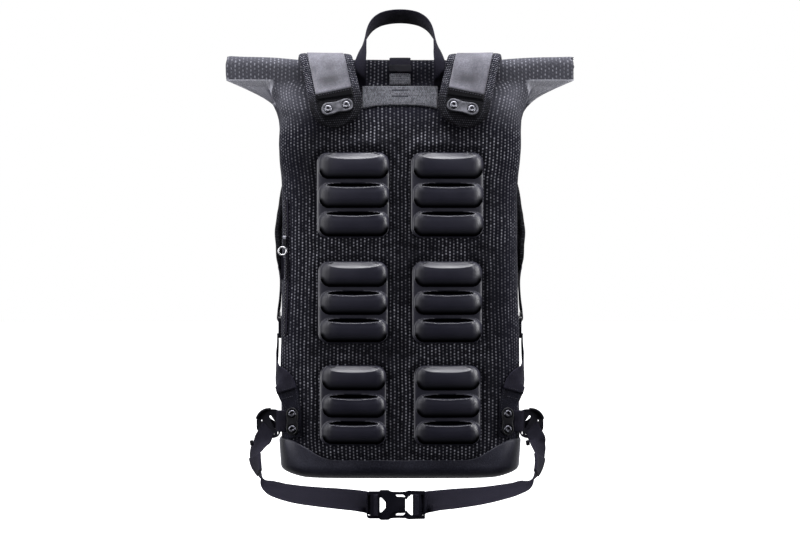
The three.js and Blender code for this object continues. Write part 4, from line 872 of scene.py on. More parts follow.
makeBag()
print("bag made")


# Base: a coated tub welded round the foot of the bag

boot = {
    "out": 2.1, "thinOut": 0.9, "middle": 20, "corner": 45, "lift": 7.5, "sag": 2.6,
    "worn": 0.9, "paintedCorners": 0.75, "columns": 220, "rows": 40, "bend": 12,
}


def bootEdge(run):
    run = abs(run)
    if run > zoneRuns[1]:
        return mix(boot["corner"] - 2, boot["corner"] - 3, ease((run - zoneRuns[1]) / 120))
    share = ease((run - 78) / 58)
    return mix(boot["middle"], boot["corner"], share) + 0.8 * noise.noise(Vector((run / 17, 2.2, 0)))


def makeBoot():
    rows, bend = boot["rows"], boot["bend"]

    def place(u, v):
        k = round(v * rows)
        run = (u - 0.5) * 2 * halfGirth
        radius = bag["baseRadius"] + boot["out"]
        corner = boot["lift"] * hump(abs(run), 160, 34)
        if k <= bend:
            angle = math.pi / 2 * k / bend
            inset = radius * (1 - math.sin(angle))
            spot = bagPoint(run, bag["foot"], boot["out"] - inset, False)
            spot.z = hang.z + bag["foot"] - radius * math.cos(angle)
            lift = corner * (1 - math.sin(angle)) ** 0.6
            spot.z += lift - boot["sag"] * (1 - math.sin(angle)) ** 0.6
            return spot
        t = (k - bend) / (rows - bend)
        if k == rows:
            return bagPoint(run, bootEdge(run) - 0.5, 0.1, False)
        z = mix(bag["foot"], bootEdge(run), min(1, t * rows / (rows - 1)))
        lip = ease((1 - t) * 10)
        spot = bagPoint(run, z, mix(boot["thinOut"], boot["out"], lip), False)
        worn = boot["worn"] * noise.noise(Vector((run / 34, z / 30, 5.0))) * ease((z - 14) / 12)
        spot.y -= worn if abs(run) < zoneRuns[0] else 0
        return spot

    def cut(u, v):
        return (u - 0.5) * 2 * halfGirth, v * 60

    def paintedLightAndTone(u, v):
        # painted light: lighter at the foot's corners, where the side light falls
        run = abs((u - 0.5) * 2 * halfGirth)
        return boot["paintedCorners"] * hump(run, 150, 46) * (0.6 + 0.4 * hump(v, 0.45, 0.3))

    bm = shapedGrid(boot["columns"], rows, place, cut, paintedLightAndTone)
    closeEnds(bm)
    return addPiece("bootTub", bm, "coated", ("base_boot",))


makeBoot()
print("base made")


# Pads: a thin moulded tray with three cushions across it

def cushionInside(x, s, halfX, tall):
    # how far a place lies inside a cushion's rounded outline
    dx = max(abs(x) - halfX + pads["round"], 0)
    dz = max(abs(s - tall / 2) - tall / 2 + pads["round"], 0)
    return pads["round"] - math.hypot(dx, dz)


def cutSpan(x, halfX, slotted):
    # an ellipse at a cushion's upper edge: a bright facet on the first, a sunk slot on the others, painted
    # dark as shade
    middle, reach = pads["slot"] if slotted else pads["facet"]
    spread = math.sqrt(max(0.0, 1 - (x / (halfX * pads["cutWidth"])) ** 2))
    return middle - reach * spread, middle + reach * spread, spread


def roundedEdge(inside):
    turn = clamp(inside / pads["turn"])
    return math.sqrt(1 - (1 - turn) ** 2)


def cushionHeight(x, s, halfX, tall, slotted):
    # a cushion's height over its tray; s is measured down from its top edge, tall is its own height
    inside = cushionInside(x, s, halfX, tall)
    if inside <= 0:
        return 0.0
    top, low, spread = cutSpan(x, halfX, slotted)
    crown = 1 - 0.55 * clamp((s - low) / (tall - low)) ** 2
    crown *= 1 - 0.3 * abs(x / halfX) ** 2.6
    full = mix(roundedEdge(inside), 1, hump(s, low, 5) * ease(spread * 1.6)) * crown
    if not top < s < low:
        return full
    share = (s - top) / (low - top)
    if slotted:
        return mix(-0.12, full * 0.95, share ** 4)
    return mix(max(0.3, roundedEdge(cushionInside(x, top, halfX, tall)) * crown), full, share)


def roundCorner(u, v, halfX, halfZ, radius):
    # a square's place moved into a rectangle with rounded corners
    x, z = u * halfX, v * halfZ
    p, q = (abs(x) - halfX + radius) / radius, (abs(z) - halfZ + radius) / radius
    if p > 0 and q > 0:
        p, q = p * math.sqrt(1 - q * q / 2), q * math.sqrt(1 - p * p / 2)
        x = math.copysign(halfX - radius + p * radius, x)
        z = math.copysign(halfZ - radius + q * radius, z)
    return x, z


def makePad(name, side, number):
    centre, width, height = pads["rows"][name]
    rise = height / 3

    def spot(u, v):
        # a place on the tray, and on which cushion, how far down it and how large that is
        a = math.copysign(abs(2 * u - 1) ** 0.8, 2 * u - 1)
        x, z = roundCorner(a, 2 * v - 1, width / 2, height / 2, pads["corner"])
        index = clamp(math.floor((height / 2 - z) / rise), 0, 2)
        s = height / 2 - z - index * rise - (0 if index == 0 else pads["gap"] * 0.5)
        tall = rise - pads["gap"] * (0.5 if index == 0 else 0.85)
        halfX = width / 2 - (pads["outerGap"] if side * x > 0 else pads["innerGap"])
        return x, z, index, s, tall, halfX

    def place(u, v):
        x, z, index, s, tall, halfX = spot(u, v)
        cushion = cushionHeight(x, s, halfX, tall, index > 0) if 0 < s < tall else 0
        tray = pads["base"] * (1 - (abs(x) / (width / 2)) ** 26) * (1 - (abs(z) / (height / 2)) ** 30)
        level = centre + z
        y = panelY(side * (pads["x"] + x), level) - (tray + pads["relief"] * cushion)
        return Vector((side * (pads["x"] + x), y, level)) + hang

    def cut(u, v):
        return (u - 0.5) * width, v * height

    def shade(u, v):
        # painted shade: 1 in the slots, less on the undersides and at the ends towards the middle of the
        # back, 0.15 on the tray
        x, z, index, s, tall, halfX = spot(u, v)
        inside = cushionInside(x, s, halfX, tall)
        if inside < 0:
            return 0.15
        top, low, spread = cutSpan(x, halfX, index > 0)
        slot = ease((s - top) / 0.9) * ease((low - s) / 1.2) * ease(spread * 4) if index else 0.0
        under = ease(1.15 - inside / 9) * ease((s / tall - 0.42) / 0.3)
        inner = 0.4 * ease((-side * x / halfX - 0.45) / 0.4)
        return max(slot, under, inner)

    bm = shapedGrid(pads["columns"], pads["levels"], place, cut, shade)
    addRim(bm, pads["rim"])
    piece = addPiece(f"foamPad{number}", bm, "foam", (f"back_pad_{name}_{sideNames[side]}",))


padPlaces = [(row, side) for row in pads["rows"] for side in sideNames]
for number, (row, side) in enumerate(padPlaces, 1):
    makePad(row, side, number)
print("pads made")


# Shoulder straps

strap = {
    "thick": 9, "width": 62, "binding": 9.5, "faceWidth": 43, "faceThick": 1.0,
    "endLength": 33, "tipLength": 22, "hemZ": -104.5, "hemWidth": 8.2, "stitchIn": 2.2, "stitchSink": 0.35,
    "stitch": (3.6, 2.3, 0.8), "hemStitch": (3.0, 2.0, 0.7),  # pitch, length, thickness
    "route": [
        (75.6, -41.7, -137, 1, 0.06, -0.01), (76.1, -40.6, -127.8, 1, 0.06, -0.01),
        (76.1, -38.4, -119, 1, 0.04, -0.05), (77.1, -32.3, -101.9, 0.99, 0, -0.12),
        (79.5, -27.4, -90.9, 0.98, -0.05, -0.19), (81.7, -23.6, -81.1, 0.98, -0.06, -0.19),
        (84.1, -19.3, -69.9, 0.98, -0.07, -0.19), (86.6, -15.1, -58.6, 0.98, -0.11, -0.18),
        (89.1, -7.7, -51.6, 0.98, -0.17, -0.08), (90.8, 3.7, -49.6, 0.99, -0.13, 0.04),
        (92.1, 13.9, -54.2, 0.99, -0.07, 0.08), (94.7, 29.6, -70.2, 0.99, -0.09, 0.06),
        (97, 45.1, -87.7, 0.99, -0.12, 0.01), (99.3, 60.5, -105.2, 0.99, -0.16, -0.03),
        (102, 76.2, -122.5, 0.97, -0.23, -0.07), (105.3, 92, -140.4, 0.96, -0.28, -0.08),
        (108.6, 105.4, -161.6, 0.93, -0.35, -0.06), (114.1, 111.4, -184.1, 0.88, -0.48, -0.06),
        (120.3, 113.2, -203.6, 0.85, -0.51, 0), (128.9, 109.6, -232.3, 0.74, -0.67, 0, 61.6),
        (134.8, 106.3, -248, 0.63, -0.77, 0, 60.5), (140.3, 100.6, -264.2, 0.5, -0.87, 0, 57.2),
        (144.3, 89.6, -285.5, 0.3, -0.96, 0, 50.6), (147.8, 77.1, -306.5, 0.15, -0.99, 0, 40),
    ],
}


def padProfile(u, section):
    # a padded strap: round bound edges, a groove where the binding is sewn, a slight crown
    angle = 2 * math.pi * u
    half, thick = section["width"] / 2, strap["thick"] / 2
    c, s = math.cos(angle), math.sin(angle)
    a = half * math.copysign(abs(c) ** 0.42, c)
    n = thick * math.copysign(abs(s) ** 0.62, s)
    groove = 0.9 * hump(abs(a), half - strap["binding"], 1.1) * min(1, abs(n) / 2)
    n -= math.copysign(groove, n)
    return a, n * section.get("fat", 1.0)


def strapRoute(side):
    route = smoothRoute(strap["route"], 2.2, strap["width"])
    total = route[-1]["along"]
    for section in route:
        fromStart = section["along"] / strap["endLength"]
        fromTip = (total - section["along"]) / strap["tipLength"]
        if fromStart < 1:
            section["width"] *= max(0.1, math.sqrt(max(0, 1 - (1 - fromStart) ** 2.4)))
            section["fat"] = 0.55 + 0.45 * ease(fromStart * 2.2)
        if fromTip < 1:
            section["width"] *= max(0.55, math.sqrt(max(0, 1 - (1 - fromTip) ** 2.6)))
            section["fat"] = 0.5 + 0.5 * ease(fromTip * 2)
        if side < 0:
            # mirrored, and turned over so that the normal still points out
            section["point"].x *= -1
            section["normal"].x *= -1
            section["run"].x *= -1
            section["across"].yz = -section["across"].y, -section["across"].z
    return route


def makeStrap(side):
    label = sideNames[side]
    route = strapRoute(side)

    def paintedLightAndTone(u, v):
        # 1 on the binding that runs round the edge, less lower down as painted shade
        section = route[round(v * (len(route) - 1))]
        inside = section["width"] / 2 - abs(padProfile(u % 1.0, section)[0])
        inside = min(inside, section["along"], route[-1]["along"] - section["along"])
        high = ease((section["point"].z + 108) / 26)
        return ease((strap["binding"] + 1 - inside) / 2) * mix(0.1, 1, high)

    bm = sweepBand(route, 72, padProfile, paintedLightAndTone)
    piece = addPiece(f"strapPadding_{label}", bm, "mesh", (f"strap_pad_{label}",))
    hemStart = next(i for i, s in enumerate(route) if s["point"].z > strap["hemZ"])
    faceRoute = []
    for section in route[hemStart:-9]:
        wide = min(strap["faceWidth"], section["width"] - 2 * strap["binding"])
        faceRoute.append({**section, "width": wide, "along": section["along"] - route[hemStart]["along"]})
    flat = webbingProfile(strap["faceThick"])

    def profile(u, section):
        a, n = flat(u, section)
        hem = 0.35 * ease((strap["hemWidth"] - section["along"]) / 1.5)
        return a, n + strap["thick"] / 2 + 0.15 + (hem if n > 0 else 0)

    face = sweepBand(faceRoute, 48, profile)
    addPiece(f"strapFacing_{label}", face, "strapCloth", (f"strap_face_{label}",))
    thread = bmesh.new()
    for edge in (-1, 1):
        for raised in (1, -1):
            points, outs = [], []
            for section in route[4:-4]:
                off = section["width"] / 2 - strap["binding"] + strap["stitchIn"]
                high = (strap["thick"] / 2) * section.get("fat", 1) * 0.97 - strap["stitchSink"]
                points.append(section["point"] + section["across"] * off * edge
                              + section["normal"] * raised * high)
                outs.append(section["normal"] * raised)
            stitchAlong(thread, points, outs, *strap["stitch"])
    hemRow = faceRoute[3]
    points = [hemRow["point"] + hemRow["across"] * a + hemRow["normal"] * (strap["thick"] / 2 + 1.45)
              for a in (-20, 20)]
    stitchAlong(thread, points, [hemRow["normal"]], *strap["hemStitch"])
    addPiece(f"strapStitches_{label}", thread, "thread")
    return route


strapRoutes = {side: makeStrap(side) for side in sideNames}
print("straps made")


# Plates and their screws

plate = {
    "thick": 3, "head": 4.7, "headHeight": 3.4, "socket": 2.0, "play": 0.55, "stand": 0.9,
    "strapZ": -112.7, "strapTilt": -12.5, "strapLift": 4.7,
    # pitch of the screws, width of the round ends and of the waist
    "strap": (22, 16, 13.4), "wing": (18.2, 14.4, 12.6),
}


def lobedOutline(pitch, lobe, waist, steps=18):
    # two round ends with a slight waist between them
    points = []
    for side in (1, -1):
        for k in range(steps + 1):
            angle = side * math.pi / 2 - math.pi * k / steps
            points.append(Vector((side * pitch / 2 + lobe / 2 * math.cos(angle), lobe / 2 * math.sin(angle))))
        points.append(Vector((0, -side * waist / 2)))
    return points


def makeScrew(name, node, point, across, outward, finish):
    # a domed head with a socket for its key, drawn round
    r, h, s = plate["head"], plate["headHeight"], plate["socket"]
    bm = turnedShape([(0.0, h * 0.35), (s * 0.96, h * 0.42), (s, h * 0.9), (s + 0.35, h),
                      (r * 0.72, h * 0.97), (r * 0.9, h * 0.8), (r, h * 0.5), (r, -0.6), (0.0, -0.6)], 36)
    placeAt(bm, point, across, outward)
    addPiece(name, bm, finish, (node,))


def platedScrews(kind, label, point, across, outward, finish, screwFinish):
    pitch, lobe, waist = plate[kind]
    out = outward.normalized()
    across = (across - out * across.dot(out)).normalized()
    holes = [circle(s * pitch / 2, 0, plate["head"] + plate["play"]) for s in (-1, 1)]
    bm = cutSlab(lobedOutline(pitch, lobe, waist), holes, plate["thick"])
    placeAt(bm, point + out * plate["thick"] / 2, across, out)
    node = f"{kind}_plate_{label}"
    addPiece(f"{kind}Plate_{label}", bm, finish, (node,), bevel=0.8, segments=3)
    for letter, step in (("a", -1), ("b", 1)):
        makeScrew(f"{kind}Screw_{label}_{letter}", f"{kind}_screw_{label}_{letter}",
                  point + across * step * pitch / 2 + out * plate["stand"], across, out, screwFinish)


for side, route in strapRoutes.items():
    section = sectionAt(route[:60], plate["strapZ"])
    turn = Matrix.Rotation(math.radians(plate["strapTilt"] * side), 3, section["normal"])
    level = Vector((1, 0, 0))
    across = turn @ (level - section["normal"] * level.dot(section["normal"])).normalized()
    middle = section["point"] + section["normal"] * plate["strapLift"] + Vector((-side * 2.4, 0, -1.2))
    platedScrews("strap", sideNames[side], middle, across, section["normal"], "strapPlate", "steel")
print("strap plates made")


# Webbing below the straps, with its locks

webbing = {
    "thick": 1.5, "width": 25,
    "tail": [
        (147.8, 80, -303.6, 0.15, -0.99, 0), (147.6, 74, -310, 0.1, -0.97, 0.2),
        (146.4, 58, -325.7, 0, -0.8, 0.6), (146.8, 44.5, -346.4, 0, -0.89, 0.45),
        (148.4, 40.3, -359, 0, -0.99, 0.17), (148.6, 40, -365.5, 0, -1, 0), (146, 40, -368.8, 0, -1, 0),
        (143.4, 40, -372.3, 0, -1, 0), (143.4, 40, -374.4, 0, -1, 0),
    ],
    "web": [
        (143.4, 40, -375, 0, -1, 0), (143.4, 40, -377.1, 0, -1, 0), (146, 40, -380.5, 0, -1, 0),
        (148.6, 40, -384.2, 0, -1, 0.05), (148.6, 38, -389.5, 0, -0.88, 0.46),
        (148.4, 25.8, -403.5, 0, -0.66, 0.75), (148.4, 7.4, -415.6, 0, -0.54, 0.84),
        (147.6, -9, -425, -0.11, -0.53, 0.84), (145, -20.5, -431.5, -0.24, -0.42, 0.88),
        (140.6, -27.6, -435.2, -0.55, -0.24, 0.8), (136.6, -30.4, -441.5, -0.93, -0.23, 0.29),
        (134.4, -31.8, -449, -0.93, -0.23, 0.29),
    ],
}
lock = {"at": (146, 40, -374.7), "width": 34, "thick": 3, "bar": 3.6, "slot": 8, "side": 3.2}


def bandPiece(name, rows, node, thick=webbing["thick"], step=2.2, columns=44):
    route = smoothRoute(rows, step, webbing["width"])
    bm = sweepBand(route, columns, webbingProfile(thick))
    addPiece(name, bm, "webbing", (node,))
    return route


def makeStrapLock(side):
    label = sideNames[side]
    w, length = lock["width"] / 2, (3 * lock["bar"] + 2 * lock["slot"]) / 2
    slotAt = (lock["bar"] + lock["slot"]) / 2
    x, holes = w - lock["side"], []
    for middle in (-slotAt, slotAt):
        slot = rectangle(-x, middle - lock["slot"] / 2, x, middle + lock["slot"] / 2)
        holes.append(rounded(slot, 1.2, 3))
    bm = cutSlab(rounded(rectangle(-w, -length, w, length), 5, 6), holes, lock["thick"])
    tab = [(-9, -length - 5), (9, -length - 5), (12, -length + 2), (-12, -length + 2)]
    tab = cutSlab(rounded(tab, 2.5, 4), [], 2.4)
    bmesh.ops.translate(tab, vec=(0, -1.2, 0), verts=tab.verts)
    joinInto(bm, tab)
    x, y, z = lock["at"]
    placeAt(bm, Vector((side * x, y, z)), Vector((0, -side, 0)), Vector((side, 0, 0)))
    addPiece(f"ladderLock_{label}", bm, "acetal", (f"strap_lock_{label}",), bevel=0.8, segments=3)


for side, label in sideNames.items():
    bandPiece(f"strapTail_{label}", onSide(side, webbing["tail"]), f"strap_tail_{label}")
    bandPiece(f"strapWeb_{label}", onSide(side, webbing["web"]), f"strap_web_{label}")
    makeStrapLock(side)
print("strap webbing made")


# Lower corners: a wing of cloth with a plate, and a loop that holds the belt's lock

wing = {
    "at": Vector((127, -31.9, -484.7)), "turn": 14, "thick": 2.2,
    "outline": [(-10.2, -17.8), (11.0, -21.1), (11.0, 15.4), (21.8, 37.9), (-4.3, 45.9), (-9.0, 20.1)],
    "radii": [3, 3, 5, 3, 3, 5],
    "seam": [(-8.0, -15.6), (9.0, -18.6), (9.0, 15.9), (18.9, 36.9), (-3.0, 43.2), (-6.9, 19.8)],
    "tacks": [((-1, 30), (14, 26)), ((1, 40), (19, 35))],
    "stitch": (3.0, 2.0, 0.7), "tackStitch": (2.6, 1.9, 0.8),  # pitch, length, thickness
}
beltLock = {
    # its middle is so far out from the wing's and so far below it
    "out": 30.5, "drop": -3.0, "thick": 3.2, "loopThick": 1.2, "tabThick": 2.4, "tabWidth": 7.5,
    "outline": [(-15, -17.6), (9, -17.6), (14.4, -6), (14.4, 7), (7, 17), (-15, 17)],
    "radii": [11, 12, 8, 10, 12, 9],
    "beltSlot": [(-0.4, 8.8), (-3.4, 9.8), (-9.2, 1.6), (-9.2, -6.2), (-7.6, -5.6)],
    "arc": (15.4, 16.4), "barIn": 13.5,
}


def wingAxes(side):
    turn = math.radians(wing["turn"])
    point = Vector((side * wing["at"].x, wing["at"].y, wing["at"].z))
    across = Vector((side * math.cos(turn), math.sin(turn), 0))
    return point, across, Vector((side * math.sin(turn), -math.cos(turn), 0))


def wingPlace(side, x, z, out=0.0):
    point, across, outward = wingAxes(side)
    return point + across * x + Vector((0, 0, z)) + outward * out


def putOnWing(bm, side, x, z):
    # shapes are drawn for the side where x is positive
    point, across, outward = wingAxes(1)
    placeAt(bm, wingPlace(1, x, z), across, outward)
    if side < 0:
        mirrored(bm)


def makeWing(side):
    label = sideNames[side]
    bm = cutSlab(rounded(wing["outline"], wing["radii"], 5), [], wing["thick"])
    putOnWing(bm, side, 0, 0)
    node = f"corner_wing_{label}"
    addPiece(f"cornerWing_{label}", bm, "wingCloth", (node,), bevel=0.9, segments=3)
    point, across, outward = wingAxes(side)
    face = wing["thick"] / 2
    platedScrews("wing", label, point + outward * (face + 0.2), Vector((0, 0, 1)), outward,
                 "wingPlate", "blackSteel")
    thread = bmesh.new()
    path = rounded(wing["seam"], 3, 4)
    path.append(path[0])
    points = [wingPlace(side, p[0], p[1], face + 0.1) for p in path]
    stitchAlong(thread, points, [outward] * len(points), *wing["stitch"])
    for ends in wing["tacks"]:
        points = [wingPlace(side, x, z, face + 0.9) for x, z in ends]
        stitchAlong(thread, points, [outward], *wing["tackStitch"])
    addPiece(f"wingStitches_{label}", thread, "thread")


def makeBeltLoop(side):
    # from the wing out round the lock's bar and back
    out = beltLock["out"] - beltLock["barIn"]
    turns = ((7, -0.9), (10, -1.6), (out - 3, -2.6), (out, -2.7), (out + 2.1, -1.9), (out + 2.7, 0),
             (out + 2.1, 1.9), (out, 2.6), (out - 3, 2.4), (10, 1.4), (8, 0.9))
    rows = [(*wingPlace(1, x, 0, y), 0, 0, 1) for x, y in turns]
    label = sideNames[side]
    bandPiece(f"lockLoop_{label}", onSide(side, rows), f"belt_loop_{label}", beltLock["loopThick"], 1.2)


def makeBeltLock(side):
    label = sideNames[side]
    slots = [rounded(rectangle(-12.6, -12.8, -10.9, 12.8), 0.6, 3), rounded(beltLock["beltSlot"], 0.9, 3),
             circle(8.2, 3.2, 1.1, 10), circle(-6.8, -12.4, 1.1, 10)]
    bm = cutSlab(rounded(beltLock["outline"], beltLock["radii"], 8), slots, beltLock["thick"])
    putOnWing(bm, side, beltLock["out"], beltLock["drop"])
    # a raised arc for the finger
    wide, tall = beltLock["arc"]
    normal = wingAxes(1)[2]
    rows = []
    for angle in range(16, 100, 6):
        x = beltLock["out"] - 1.5 + wide * math.cos(math.radians(angle))
        z = beltLock["drop"] + 1.0 + tall * math.sin(math.radians(angle))
        rows.append((*wingPlace(1, x, z, 2.0), *normal, beltLock["tabWidth"]))
    tab = sweepBand(smoothRoute(rows, 1.5), 24, webbingProfile(beltLock["tabThick"]))
    if side < 0:
        mirrored(tab)
    joinInto(bm, tab)
    addPiece(f"beltLock_{label}", bm, "acetal", (f"belt_lock_{label}",), bevel=0.8, segments=3)


for side in sideNames:
    makeWing(side)
    makeBeltLoop(side)
    makeBeltLock(side)
print("lower corners made")


# Belt: each half has its own rows, because the buckle is off the middle; both are written with x positive

belt = {
    # the rolled ends of the webbing, just outside its edge
    "hems": {-1: (-175.9, -31.0, -510.4), 1: (151.6, -31.0, -510.4)},
    "keeper": (-525, -546), "keeperThick": 4.2, "keeperPlay": 2.2,
    "first": [
        (150.6, -22.9, -484.4, 0.6, 0.15, 0.79, 18), (152.6, -22.9, -487.4, 0.6, 0.15, 0.79, 18),
        (156.4, -25.6, -493, 0.64, 0.17, 0.75, 18.5), (159.8, -26.8, -499.4, 0.72, 0.17, 0.66, 19),
        (162.6, -27.8, -505.2, 0.76, 0.22, 0.5, 20.5),
    ],
    -1: [
        (166, -29.6, -510.9, 0.72, 0.66, 0.25, 22), (169.6, -31.8, -516.4, 0.62, 0.76, 0.1, 24),
        (172, -33.7, -523.2, 0.52, 0.84, -0.1), (171.3, -36.1, -530, 0.48, 0.85, -0.2),
        (169.4, -38.6, -536.7, 0.4, 0.88, -0.26), (166.9, -40.6, -543.4, 0.24, 0.92, -0.3),
        (163.6, -42.4, -549.6, 0.08, 0.96, -0.26), (158.6, -44.6, -556, -0.16, 0.92, 0.3),
        (150, -47.6, -562.3, -0.26, 0.78, 0.57), (141.6, -49.6, -565.2, -0.24, 0.73, 0.64),
        (123.9, -51.4, -569, -0.2, 0.61, 0.76), (96.8, -52.8, -572.2, -0.14, 0.5, 0.85),
        (69.6, -53.7, -574.6, -0.12, 0.33, 0.92), (46, -54.3, -577.2, -0.08, 0.2, 0.96),
        (38.6, -54.8, -578.6, -0.04, 0.05, 0.99), (33.6, -58, -580.8, 0, 0, 1),
        (30.8, -60.6, -581.2, 0, 0, 1), (26.3, -61.2, -581.2, 0, 0, 1),
    ],
    1: [
        (163.6, -29.6, -510.9, 0.7, 0.66, 0.24, 23), (165, -31.8, -517, 0.6, 0.78, 0.08),
        (165.6, -33.7, -523.6, 0.5, 0.85, -0.1), (165.4, -36.1, -530, 0.42, 0.88, -0.2),
        (164.2, -38.6, -537, 0.34, 0.9, -0.26), (161.8, -40.8, -544, 0.22, 0.92, -0.3),
        (157.6, -42.8, -551, 0.04, 0.96, -0.22), (149.6, -45.6, -557.6, -0.14, 0.92, 0.34),
        (137.6, -48.4, -562.6, -0.22, 0.85, 0.46), (118, -50.4, -567.2, -0.2, 0.76, 0.6),
        (95.6, -52, -571, -0.16, 0.66, 0.73), (64, -53.3, -574.4, -0.1, 0.44, 0.86),
        (38, -54.3, -577.2, -0.06, 0.28, 0.93), (30.4, -54.8, -578.6, -0.04, 0.05, 0.99),
        (24.8, -58.4, -580.8, 0, 0, 1), (21.6, -60.7, -581.2, 0, 0, 1), (16.9, -61.2, -581.2, 0, 0, 1),
    ],
}

for side, label in sideNames.items():
    rows = onSide(side, belt["first"] + belt[side])
    route = bandPiece(f"waistBelt_{label}", rows, f"belt_web_{label}", step=1.8, columns=48)
    first, last = (next(i for i, s in enumerate(route) if s["point"].z < z) for z in belt["keeper"])
    sleeve = [{**s, "width": s["width"] + belt["keeperPlay"]} for s in route[first:last]]
    bm = sweepBand(sleeve, 44, webbingProfile(belt["keeperThick"]))
    addPiece(f"beltKeeper_{label}", bm, "webbing", (f"belt_keeper_{label}",))
    hem = turnedShape([(0.0, 3.3), (1.5, 3.2), (2.3, 2.5), (2.3, -2.5), (1.5, -3.2), (0.0, -3.3)], 20)
    placeAt(hem, Vector(belt["hems"][side]), Vector((1, 0, 0.2)), Vector((-0.2, 0.1, 1)))
    addPiece(f"beltHem_{label}", hem, "webbing")
print("belt made")


# Side-release buckle: x to the right, z up, about its own middle; socket and plug give their upper half

buckle = {
    "at": Vector((-4.7, -57.9, -581.2)), "thick": 5, "capRise": 1.6, "bar": 6.6,
    "barHalf": 12.8, "slotHalf": 12.3,
    "socket": [(-34.4, 15.9), (-19.6, 15.9), (-18.2, 17.5), (-8.4, 17.5), (-4.6, 14.2), (-0.6, 12.6),
               (0.8, 9.7), (11.0, 9.2)],
    "socketRadii": [4, 0.6, 1, 4, 4, 1, 1.5, 1.2],
    "window": [(-19.0, -9.0), (-17.0, -8.6), (-12.2, -3.6), (-12.2, 3.6), (-17.0, 8.6), (-19.0, 9.0)],
    "cap": [
        (-17.2, 16), (-17.2, 10.6), (-10.8, 4.6), (-10.8, -4.6), (-17.2, -10.6), (-17.2, -16), (-9.6, -16),
        (-5.6, -10), (-1.6, -7.6), (4.6, -6.8), (9.8, -7.2), (9.8, 7.2), (4.6, 6.8), (-1.6, 7.6), (-5.6, 10),
        (-9.6, 16),
    ],
    "plug": [(34.2, 16.3), (20.5, 16.6), (14.6, 16.9), (11.0, 15.6), (4.0, 15.2), (-4.0, 15.5),
             (-7.8, 16.2), (-7.8, 13.6), (-3.0, 12.7), (0.0, 12.2), (8.4, 12.2), (10.4, 10.6), (10.6, 7.0),
             (12.4, 6.6), (14.6, 9.6), (19.6, 13.2)],
}


def mirrorLine(points):
    return points + [(x, -z) for x, z in reversed(points)]


def addBar(bm, left, right):
    bar = rounded(rectangle(left, -buckle["barHalf"], right, buckle["barHalf"]), 1, 2)
    joinInto(bm, cutSlab(bar, [], buckle["bar"]))


def makeBuckle():
    # socket: a frame for the belt and a waisted body that the plug's arms reach round
    half = buckle["slotHalf"]
    slot = rounded(rectangle(-33.0, -half, -30.2, half), 0.8, 2)
    window = rounded(buckle["window"], 1.2, 3)
    radii = buckle["socketRadii"]
    outline = rounded(mirrorLine(buckle["socket"]), radii + radii[::-1], 6)
    socket = cutSlab(outline, [slot, window], buckle["thick"])
    cap = rounded(buckle["cap"], 1.6, 4)
    joinInto(socket, cutSlab(cap, [], buckle["thick"] + buckle["capRise"]))
    addBar(socket, -29.8, -20.2)
    slot = rounded(rectangle(29.2, -half, 32.4, half), 0.8, 2)
    plug = cutSlab(rounded(mirrorLine(buckle["plug"]), 1.3, 4), [slot], buckle["thick"] - 0.6)
    addBar(plug, 20.6, 28.8)
    for name, node, bm in (("buckleSocket", "buckle_socket", socket), ("bucklePlug", "buckle_plug", plug)):
        placeAt(bm, buckle["at"], Vector((1, 0, 0)), Vector((0, -1, 0)))
        addPiece(name, bm, "acetal", (node,), bevel=0.9, segments=4)


makeBuckle()
print("buckle made")


# Yoke patch, closure strap and carry handle

yoke = {
    "half": 45, "top": 465, "bottom": 441, "drop": 4.5, "thick": 1.4, "stand": 0.3, "rim": 1.2,
    "barTacks": (459.5, 452), "tackHalf": 9.5, "seamUp": 3.2, "seamHalf": 42,
    "tackStitch": (3.2, 0.95), "stitch": (3.0, 2.0, 0.7),
}
closure = {
    # y and z along the middle
    "route": [(-14.6, -86.5), (-13.6, -76.5), (-12.7, -67.9), (-10.9, -59.6), (-5.2, -52.8), (2.6, -50.8),
              (10.3, -54.3), (17.1, -61.4), (29.3, -74), (47.8, -92.6), (66.2, -111.1), (84.6, -130),
              (100.3, -150.8), (110.1, -165.5), (119.9, -189.9)],
    "sliderZ": -64.3, "sliderLift": 2.1, "hookZ": -146.5, "hookLift": 3.3, "seams": (-71.5, -75.2, -78.6),
    "seamHalf": 11, "stitch": (2.4, 1.9, 0.9), "tab": (-84.5, -69.5), "tabLift": 1.5, "tabThick": 0.9,
}
handle = {
    "thick": 1.9,
    "half": [
        (46, -15.2, -87, 1, 0.02, -0.01, 12), (46.8, -18.2, -76.3, 0.86, 0.5, 0, 15),
        (47.6, -23.4, -66, 0.62, 0.78, 0, 21), (47, -24.6, -56, 0.5, 0.86, 0),
        (45.2, -23, -46.5, 0.38, 0.92, 0), (43.2, -21.4, -37.5, 0.2, 0.98, -0.03),
        (41.4, -18.6, -29, 0.06, 0.98, -0.14), (38.2, -15.6, -20.5, 0, 0.93, -0.34),
        (32.2, -12.2, -11.6, 0, 0.87, -0.49), (23.4, -8.6, -5.4, 0, 0.84, -0.54),
        (12.4, -6, -2.2, 0, 0.83, -0.56),
    ],
    "middle": (0, -5.2, -1.2, 0, 0.83, -0.56),
}


